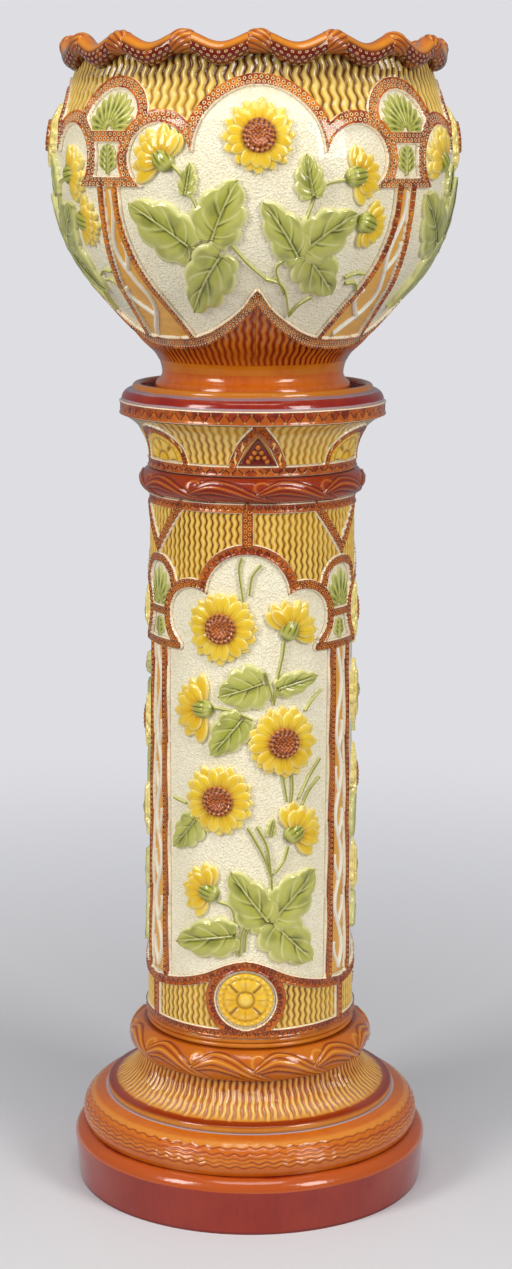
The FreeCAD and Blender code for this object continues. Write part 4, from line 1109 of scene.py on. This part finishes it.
lipArc = [(142.6, 90.2), (143.6, 93.6), (142.4, 96.8)]
flareArc = [(140.5, 97.3), (117.1, 110.2), (108.0, 130.0)]
flare = {"outline": np.vstack([[(139.0, 90.0), (142.5, 90.0)], arcVia(*lipArc, 8), [(141.4, 97.2)],
                               arcVia(*flareArc, 40)]),
         "rows": 62, "girth": 115.0, "columns": 880, "lining": [(90.2, 130.0), (125.4, 97.0), (125.4, 90.0)],
         "reeds": 110, "sway": 0.5, "from": 19.0, "height": 1.3, "band": (96.9, 98.6, paint(146, 32, 9), 0.8)}


def flareWork(run, up):
    pitch = fullTurn * flare["girth"] / flare["reeds"]
    swing = flare["sway"] * np.sin(up / 2.6 + 1.3 * np.sin(np.floor(run / pitch) * 1.7))
    groove = np.abs((run + swing) / pitch % 1.0 - 0.5) * 2
    low = flare["from"] + 2.5 * np.sin(np.floor((run + swing) / pitch) * 2.1)
    shown = smooth(low, low + 8.0, up)
    height = shown * (flare["height"] * smooth(0.05, 0.85, 1 - groove) - 0.5)
    top = smooth(38.0, 50.0, up)
    deep = (shown * smooth(0.45, 0.9, groove) * (0.35 + 0.6 * top)
            + 0.75 * smooth(20.0, 13.0, up) * smooth(8.4, 10.0, up))
    pale = shown * smooth(0.6, 0.25, groove) * (0.9 - 0.4 * top) + 0.4 * smooth(17.0, 24.0, up) * (1 - shown)
    return height, {"deep": np.minimum(deep, 1), "pale": np.minimum(pale, 0.9) * (1 - np.minimum(deep, 1)),
                    "tone": 0.5 + 0.12 * smooth(8.5, 7.0, up),
                    # kind: bluish-white grooves near the top, pooled glaze with a painted highlight
                    "kind": 0.35 * shown * smooth(0.7, 0.95, groove) * smooth(44, 30, up)}


flareMaterial = glaze("flareGlaze", streak=0.3, bands=[flare["band"]],
                      **tones((203, 123, 23), (133, 37, 8), (230, 195, 106), (193, 97, 18)))
makeMoulding("base_flare_glazed", flare, flareWork, flareMaterial, "amber_glaze", "base_flare")


# rings of long leaves that lie over one another in an S

leafMiddle = [(0.0, 0.34), (0.14, 0.52), (0.3, 0.64), (0.5, 0.55), (0.75, 0.3), (1.0, 0.13)]
leafHalf = [(0.0, 0.03), (0.14, 0.13), (0.3, 0.2), (0.5, 0.2), (0.75, 0.13), (1.0, 0.02)]
leafPath = np.hstack([curveThrough(leafMiddle, 60), curveThrough(leafHalf, 60)[:, 1:]])
curl = {"middle": (0.1, 0.62), "radius": 0.17, "width": 0.035, "height": 0.5}
rings = {
    "base_rope_ring": {
        "outline": arcVia((108.2, 130.0), (120.0, 146.1), (104.7, 161.0), 60), "rows": 50, "girth": 114.0,
        "columns": 720, "lining": [(85.6, 161.0), (85.6, 130.0)], "leaves": 12, "from": 1.0, "to": 44.0,
        "reach": 1.42, "height": 1.5, "slot": "amber_glaze", "glaze": "baseRingGlaze",
        "tones": tones((195, 106, 18), (106, 25, 5), (224, 154, 49), (181, 84, 15))},
    "capital_rope_ring": {
        "outline": arcVia((97.6, 694.0), (108.5, 705.0), (99.2, 718.4), 60), "rows": 42, "girth": 104.0,
        "columns": 640, "lining": [(85.6, 718.4), (85.6, 694.0)], "leaves": 10, "from": 1.0, "to": 33.0,
        "reach": 1.42, "height": 1.3, "slot": "red_glaze", "glaze": "capitalRingGlaze",
        "tones": tones((154, 54, 15), (77, 13, 5), (209, 117, 28), (136, 34, 13))}}


def leafWork(kit):
    pitch = fullTurn * kit["girth"] / kit["leaves"]

    def work(run, up):
        share = (up - kit["from"]) / (kit["to"] - kit["from"])
        height, deep, pale = [np.zeros_like(run) for layer in range(3)]
        for shift in (-1, 0, 1):
            s = ((run % pitch) + shift * pitch) / (kit["reach"] * pitch)
            inside = (s > 0) & (s < 1)
            centre = np.interp(s, leafPath[:, 0], leafPath[:, 1])
            half = np.interp(s, leafPath[:, 0], leafPath[:, 2])
            across = (share - centre) / half
            body = smooth(1.05, 0.85, np.abs(across)) * inside
            veins = np.cos(across * math.pi * 2.4 + 0.5)
            level = body * (kit["height"] * (1 - 0.4 * across ** 2) + 0.3 * veins * smooth(0.0, 0.12, s))
            outline = ridge(np.abs(across) - 1.15, 0.16) * inside
            (x, y), within = curl["middle"], (s > -0.04) & (s < 0.24) & (share > 0.5)
            hook = ridge(np.hypot((s - x) * kit["reach"] * 1.6, share - y) - curl["radius"],
                         curl["width"]) * within
            take = body > 0.5
            bare = height < 0.3
            height = np.where(take, np.maximum(level, height), height)
            height = height - 0.6 * outline * bare + curl["height"] * hook * ~take
            deep = np.where(take, 0.75 * smooth(-0.5, -0.95, veins), np.maximum(deep, 0.85 * outline))
            thin = 0.8 * smooth(0.4, 0.95, veins) * (1 - 0.5 * np.abs(across))
            pale = np.where(take, thin, np.maximum(pale, 0.6 * hook))
        # painted shade: both ends of the ring, where it meets the parts above and below, are darkened
        edge = smooth(0.0, 0.06, share) * smooth(1.0, 0.94, share)
        return height * edge, {"deep": np.clip(deep * edge + 0.7 * (1 - edge), 0, 1),
                               "pale": np.clip(pale * edge, 0, 1), "tone": 0.5}

    return work


for name, kit in rings.items():
    material = glaze(kit["glaze"], streak=0.2, **kit["tones"])
    makeMoulding(name + "_glazed", kit, leafWork(kit), material, kit["slot"], name)
print("mouldings turned")


# the capital: neck band, tents and arches on the combed cove, the plate's band

capWall = Wall(np.vstack([[(99.0, 718.4), (99.0, 728.9)], coveArc]), 115.0, 3, 2.9)
bandWall = Wall([(126.5, 768.9), (126.5, 782.6)], 126.5, 3, 2.9)
archLine = curveThrough([(82.5, 729), (87, 742), (98, 753.5), (110, 759.5), (121, 761.5)], 24)
capitalStraps = bothSides([([(0, 723.8), (121, 723.8)], 5.2, 14.4),
                           ([(26.5, 731), (17.5, 748), (2.0, 766)], 5.6, 6.2),
                           (archLine, 4.4, 6.2)])
for name, wall, lines, low, high, cell, height in (
        ("capital_strapwork", capWall, capitalStraps, 718.4, 768.8, 0.9, 2.6),
        ("capital_band", bandWall, [([(-133, 775.8), (133, 775.8)], 6.8, 12.6)], 768.9, 782.6, 0.92, 2.3)):
    clay = Clay()
    strapwork(wall, lines, [], low, high, cell, height, clay)
    makePiece(name + "_glazed", clay, strapMaterial, "stand", "strap_glaze", name)

coveComb = combSettings(115.0, 90, 0.7, 9.0, 1.3)
tent = {"outline": ([729, 748, 766], [24, 15, 0]), "foot": 729.6, "height": 26.0, "half": 20.0}
fan = {"middle": 120.4, "from": 84, "top": 760.5, "bend": 0.022, "foot": 730.5, "half": 31.5, "height": 26.0,
       "holes": 8, "lobes": 4, "beads": 26}
seed = {"rings": 10, "spokes": 20, "radius": 2.7, "height": 4.6,
        "at": [(-7.0, 737.5), (0.0, 737.5), (7.0, 737.5), (-3.5, 742.5), (3.5, 742.5), (0.0, 747.8),
               (-10.0, 733.6),
               (10.0, 733.6)]}


def coveKeep(run, up):
    side = np.abs(run)
    inFan = (side > fan["from"]) & (up < fan["top"] - fan["bend"] * (fan["middle"] - side) ** 2)
    return (side > np.interp(up, *tent["outline"])) & ~inFan


def coveFade(up):
    return smooth(760.0, 751.0, up)


def addSeed(clay, wall, run, up):
    # a smooth bead
    r, a = roundPatch(0.02, seed["rings"], seed["spokes"])
    level = seed["height"] * np.sqrt(1 - 0.96 * r ** 2) + 0 * a
    foot, crown = 0.4 * smooth(0.8, 1.0, r) + 0 * a, 0.5 * smooth(0.5, 0.0, r) + 0 * a
    deep = np.minimum(0.95 * foot + 0.55 * smooth(0.1, -0.6, crown) * smooth(0.7, 0.6, r), 1.0)
    pale = 0.8 * (ridge(r - 0.77, 0.06) + ridge(r - 0.96, 0.05)) * (1 - foot) + 0.55 * smooth(0.25, 0.8, crown)
    addRound(clay, wall, run, up, seed["radius"], r, a, level, deep=deep, pale=np.clip(pale, 0, 1))


clay = Clay()
combedField(coveWall, 730.0, 768.5, coveKeep, clay, coveComb, coveFade, None, 1.4)
coveMaterial = combedGlaze("combedCove", coveComb,
                           **tones((222, 172, 66), (150, 98, 30), (240, 212, 122), (212, 152, 50)))
makePiece("capital_combed_cove", clay, coveMaterial, "stand", "ochre_glaze")

clay, seeds, tents = Clay(), Clay(), Clay()
for shift in coveWall.copies():
    r = np.linspace(0.0, 1.0, 26)[:, None]
    a = np.linspace(0, math.pi, 70)[None, :]
    holes = ridge(r - 0.6, 0.14) * smooth(0.5, 0.95, np.cos(fan["holes"] * a)) + ridge(r - 0.3, 0.035)
    lobes = np.abs(np.sin(fan["lobes"] * a)) * smooth(0.34, 0.5, r) * smooth(0.84, 0.72, r)
    beads = ridge(r - 0.9, 0.055) * smooth(-0.1, 0.7, np.cos(fan["beads"] * a))
    height = 1.5 + 0.9 * smooth(0.24, 0.12, r) + 0.9 * lobes + 0.7 * beads - 1.2 * holes
    run = fan["middle"] + shift + fan["half"] * r * np.cos(a)
    up = fan["foot"] + fan["height"] * r * np.sin(a)
    clay.relief(coveWall, run, up, height, deep=np.minimum(0.9 * holes + 0.5 * ridge(r - 0.8, 0.03), 0.9),
                pale=np.minimum(0.5 * lobes + 0.5 * beads, 1.0), tone=0.5)
    rise, side = patch(14, 11)
    side = side * (tent["half"] * (1 - rise) + 1.0)
    level = tent["foot"] + tent["height"] * rise + 0 * side
    tents.relief(coveWall, shift + side, level, 1.0 + 0 * side, sink=0.6, deep=0.35)
    for across, up in seed["at"]:
        addSeed(seeds, coveWall, shift + across, up)
makePiece("capital_half_rosettes_glazed", clay, lemonMaterial, "stand", "yellow_glaze", "capital_half_rosettes")
makePiece("capital_tent_grounds", tents, redMaterial, "stand", "red_glaze")
makePiece("capital_seeds_glazed", seeds, amberMaterial, "stand", "amber_glaze", "capital_seeds")
print("capital dressed")


# the waving lip: swags of ring dots under a smooth roll, bound at each crest by a twist

rim = {"waves": 16, "middle": 181.0, "columns": 768, "rows": 60, "beads": 3.0, "beadRow": 0.83,
       "beadHeight": 0.35,
       "rings": 176, "ringRows": 12.0, "ringLift": 0.1, "ringHeight": 5.6, "swag": (0.50, 0.84)}
twist = {"half": 10.5, "proud": 1.6, "ribs": 4.2, "slant": 2.6, "from": 0.1, "to": 0.93, "rows": 76,
         "columns": 40,
         "samples": 400}
lipLine = np.array([(156.2, 1096.4), (157.4, 1104.0), (162.5, 1111.8), (169.5, 1116.6), (176.0, 1116.2),
                    (180.4, 1112.2), (181.6, 1107.6), (180.8, 1103.2), (178.0, 1099.6), (173.2, 1097.4),
                    (168.0, 1097.2), (164.4, 1098.6)])
lipWave = np.array([0.0, 2.0, 4.4, 5.0, 5.0, 5.0, 5.0, 5.2, 5.6, 6.0, 6.0, 3.0])  # mm up and down at each point


def lipPoints(run, samples, pick, proud):
    # the picked samples of the lip's section at each run, pushed out by proud
    base = curveThrough(lipLine, samples)[pick]
    wave = curveThrough(np.stack([0 * lipWave, lipWave], -1), samples)[pick]
    swing = np.cos(rim["waves"] * run / rim["middle"])
    radius = base[:, :1] + 0 * swing
    level = base[:, 1:] + wave[:, 1:] * swing
    way = np.stack([np.gradient(radius, axis=0), np.gradient(level, axis=0)], -1)
    way = way / np.hypot(way[..., 0], way[..., 1])[..., None]
    bearing = run / rim["middle"] + bowlWall.turn
    return turned(radius - way[..., 1] * proud, bearing, level + way[..., 0] * proud)


def rimGlaze(name):
    recipe = Recipe(name)
    along, row = recipe.split(recipe.value("place", "Vector"))[:2]
    cloud = recipe.noise(30.0, 3.0)
    blot = recipe.noise(90.0)
    top = row.step(0.52, 0.44)
    colour = recipe.mix(top * (cloud.step(0.3, 0.6) * 0.4 + 0.6), paint(106, 19, 7), paint(201, 110, 15))
    colour = recipe.mix(blot.step(0.55, 0.68) * (1.0 - top) * 0.6, colour, paint(183, 84, 18))
    colour = recipe.mix(row.step(0.36, 0.42) * row.step(0.54, 0.46) * 0.35, colour, paint(224, 156, 46))
    pitch = fullTurn * rim["middle"] / rim["rings"]
    line = row * rim["ringRows"] - rim["ringLift"]
    cell = along / pitch + line.floor() * 0.5
    inCell = (cell - cell.floor() - 0.5) * pitch
    inRow = (line - line.floor() - 0.5) * rim["ringHeight"]
    gap = (inCell * inCell + inRow * inRow) ** 0.5
    low, high = rim["swag"]
    swag = row.step(low, low + 0.04) * row.step(high, high - 0.04)
    ring = gap.step(0.6, 0.9) * gap.step(1.8, 1.4) * swag
    hole = gap.step(0.8, 0.4) * swag
    colour = recipe.mix(ring * 0.85, colour, paint(238, 201, 136))
    colour = recipe.mix(hole * 0.9, colour, paint(32, 7, 4))
    return recipe.finish(colour, cloud * 0.1 + 0.07, ring - hole * 0.5, 0.0006)


run = np.linspace(0, fullTurn * rim["middle"], rim["columns"], endpoint=False)[None, :]
row = np.linspace(0, 1, rim["rows"])[:, None]
beads = rim["beadHeight"] * ridge(row - rim["beadRow"], 0.012) * np.cos(run * 2 * math.pi / rim["beads"])
clay = Clay()
clay.grid(lipPoints(run, rim["rows"], slice(None), beads), wrapColumns=True, wrapRows=True,
          place=np.stack(np.broadcast_arrays(run, row, 0 * row), -1))
makePiece("rim_festoons_glazed", clay, rimGlaze("rimGlaze"), "jardiniere", "red_glaze", "rim_festoons")

clay = Clay()
t = np.linspace(-1, 1, twist["columns"])[None, :]
share = np.linspace(twist["from"], twist["to"], twist["rows"])[:, None]
pick = (share[:, 0] * (twist["samples"] - 1)).astype(int)
shape = np.sqrt(np.clip(1 - t ** 2, 0, 1))
fade = smooth(0.0, 0.05, share - 0.1) * smooth(0.83, 0.78, share - 0.1)
top = smooth(0.55, 0.42, share)
for number in range(rim["waves"]):
    crest = fullTurn * rim["middle"] * number / rim["waves"]
    lean = 1 if number % 2 else -1
    slant = share * 100 / twist["ribs"] + lean * t * twist["slant"]
    ribs = np.abs(np.sin(math.pi * slant / twist["slant"]))
    proud = -0.6 + twist["proud"] * shape ** 0.6 * (0.55 + 0.75 * ribs ** 0.7)
    proud = buried + (proud - buried) * fade
    local = crest + t * (twist["half"] * (1.0 - 0.25 * smooth(0.5, 0.9, share)))
    clay.grid(lipPoints(local, twist["samples"], pick, proud),
              deep=np.clip(0.9 * smooth(0.4, 0.05, ribs) + 0.25 * (1 - top), 0, 1),
              pale=np.clip(0.5 * smooth(0.7, 1.0, ribs) * (0.4 + 0.6 * top), 0, 1),
              tone=0.4 + 0.12 * top + 0 * t)
makePiece("rim_twists_glazed", clay, amberMaterial, "jardiniere", "amber_glaze", "rim_twists")
print("rim bound")


# plain turned walls keep their shape and get their glaze

stipple = {"pits": 400.0, "fine": 560.0, "cloud": 26.0}  # noise scales per metre


def panelGlaze(name, amberBelow):
    # cream over a finely stippled ground, amber at the foot, plain glaze inside
    recipe = Recipe(name)
    pits = recipe.node("ShaderNodeTexVoronoi", values={"Vector": recipe.where, "Scale": stipple["pits"]},
                       output="Distance").step(0.15, 0.6)
    fine = recipe.noise(stipple["fine"], 2.0, 0.7)
    cloud = recipe.noise(stipple["cloud"], 3.0, 0.6)
    colour = recipe.mix(cloud.step(0.35, 0.7) * 0.6, creamTones["body"], creamTones["other"])
    colour = recipe.mix(pits * fine.step(0.45, 0.62) * 0.5, colour, creamTones["deep"])
    level = recipe.z * 1000.0 + (cloud - 0.5) * 4.0
    low = level.step(amberBelow + 1.0, amberBelow - 1.0)
    amber = recipe.mix(cloud.step(0.35, 0.65), amberTones["body"], paint(203, 119, 26))
    colour = recipe.mix(low, colour, amber)
    normal = recipe.node("ShaderNodeNewGeometry", output="Normal")
    facing = recipe.node("ShaderNodeVectorMath", {"operation": "DOT_PRODUCT"},
                         {0: normal, 1: recipe.stretched(1, 0)}, "Value")
    inside = facing.step(0.012, 0.0)
    colour = recipe.mix(inside, colour, recipe.mix(cloud, paint(213, 187, 123), paint(197, 164, 93)))
    height = (1.0 - pits) * (1.0 - low) * (1.0 - inside) + fine * 0.3
    return recipe.finish(colour, fine * 0.14 + 0.2 - low * 0.12, height, 0.0005)


# each band: from and to in mm above the floor, its colour and how much of it shows
plainWalls = {
    "plinth": ("plinthGlaze", 0.35, tones((148, 40, 16), (97, 18, 8), (203, 114, 34), (131, 26, 13)),
               [(44.0, 54.4, paint(191, 89, 28), 0.75), (-2.0, 2.0, paint(89, 15, 7), 0.6)]),
    # on the plate, the two grey-violet lines at its edges are pooled glaze with a painted bluish-white
    # highlight
    "capital_plate": ("plateGlaze", 0.3, tones((138, 23, 13), (80, 10, 7), (207, 125, 32), (164, 49, 16)),
                      [(768.0, 783.4, paint(193, 114, 29), 0.8), (783.0, 784.6, paint(173, 162, 175), 0.7),
                       (792.2, 794.4, paint(156, 144, 156), 0.7), (794.4, 801.0, paint(203, 123, 29), 0.85)]),
    "capital_cove": ("coveGlaze", 0.3, tones((207, 156, 54), (136, 84, 18), (236, 213, 146), (193, 133, 32)),
                     [(728.0, 731.4, paint(242, 232, 197), 0.7), (716.0, 728.0, paint(146, 54, 15), 1.0)]),
    "bowl_foot": ("footGlaze", 0.5, tones((203, 106, 23), (114, 28, 7), (224, 154, 59), (185, 77, 16)),
                  [(790.0, 793.0, paint(146, 49, 12), 0.7)])}
wallMaterials = {"shaft_tube": panelGlaze("shaftGlaze", 171.4), "bowl_body": panelGlaze("bowlGlaze", 834.0)}
for name, (label, streak, colours, bands) in plainWalls.items():
    wallMaterials[name] = glaze(label, worked=False, streak=streak, bands=bands, **colours)
for name, material in wallMaterials.items():
    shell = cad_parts[name].data
    shell.materials.clear()
    shell.materials.append(material)
print("walls glazed")


# the plain pale studio

studio = {"floor": 30.0, "fade": (0.25, 1.9), "backdrop": paint(222, 222, 226), "sky": paint(214, 218, 226),
          "skyPower": 0.35, "lampColour": (1.0, 0.98, 0.94)}
softboxes = {"left": {"at": (-2.2, -1.9, 2.0), "aim": (0, 0, 0.62), "size": (0.9, 1.6), "power": 60.0},
             "right": {"at": (2.0, -2.1, 1.9), "aim": (0, 0, 0.6), "size": (0.9, 1.6), "power": 53.0},
             "top": {"at": (0.0, -0.9, 3.2), "aim": (0, 0, 0.6), "size": (1.6, 1.2), "power": 28.0}}
view = {"at": (0.0042, -2.468, 1.0175), "tilt": 79.3, "roll": 0.26, "lens": 72.6, "sensor": 36.0}

reach = studio["floor"]
stage = bpy.data.meshes.new("floor")
stage.from_pydata([(-reach, -reach, 0), (reach, -reach, 0), (reach, reach, 0), (-reach, reach, 0)], [],
                  [(0, 1, 2, 3)])
floor = bpy.data.objects.new("floor", stage)
bpy.context.scene.collection.objects.link(floor)
recipe = Recipe("paleFloor")
recipe.finish(recipe.mix(recipe.noise(1.2), paint(214, 214, 218), paint(220, 220, 224)),
              recipe.noise(3.0) * 0.1 + 0.5, coat=0.0)
far = ((recipe.x * recipe.x + recipe.y * recipe.y) ** 0.5).step(*studio["fade"])
recipe.feed("Alpha", 1.0 - far)  # the floor fades into the backdrop
floor.data.materials.append(recipe.material)

world = bpy.data.worlds.new("studio")
bpy.context.scene.world = world
world.use_nodes = True
links, nodes = world.node_tree.links, world.node_tree.nodes
backdrop, sky = nodes["Background"], nodes.new("ShaderNodeBackground")
backdrop.inputs["Color"].default_value = studio["backdrop"]
sky.inputs["Color"].default_value = studio["sky"]
sky.inputs["Strength"].default_value = studio["skyPower"]
seen = nodes.new("ShaderNodeLightPath")
blend = nodes.new("ShaderNodeMixShader")
for number, output in enumerate((seen.outputs["Is Camera Ray"], sky.outputs[0], backdrop.outputs[0])):
    links.new(output, blend.inputs[number])
links.new(blend.outputs[0], nodes["World Output"].inputs["Surface"])

for name, box in softboxes.items():
    lamp = bpy.data.lights.new("softbox_" + name, "AREA")
    lamp.shape, lamp.energy, lamp.color = "RECTANGLE", box["power"], studio["lampColour"]
    lamp.size, lamp.size_y = box["size"]
    light = bpy.data.objects.new("softbox_" + name, lamp)
    light.location = box["at"]
    light.rotation_euler = (mathutils.Vector(box["aim"]) - light.location).to_track_quat("-Z", "Y").to_euler()
    bpy.context.scene.collection.objects.link(light)

lens = bpy.data.cameras.new("camera")
lens.lens, lens.sensor_width = view["lens"], view["sensor"]
camera = bpy.data.objects.new("camera", lens)
camera.matrix_world = (mathutils.Matrix.Translation(view["at"])
                       @ mathutils.Matrix.Rotation(math.radians(view["tilt"]), 4, "X")
                       @ mathutils.Matrix.Rotation(math.radians(view["roll"]), 4, "Z"))
bpy.context.scene.collection.objects.link(camera)
bpy.context.scene.camera = camera
bpy.context.scene.view_settings.view_transform = "Standard"
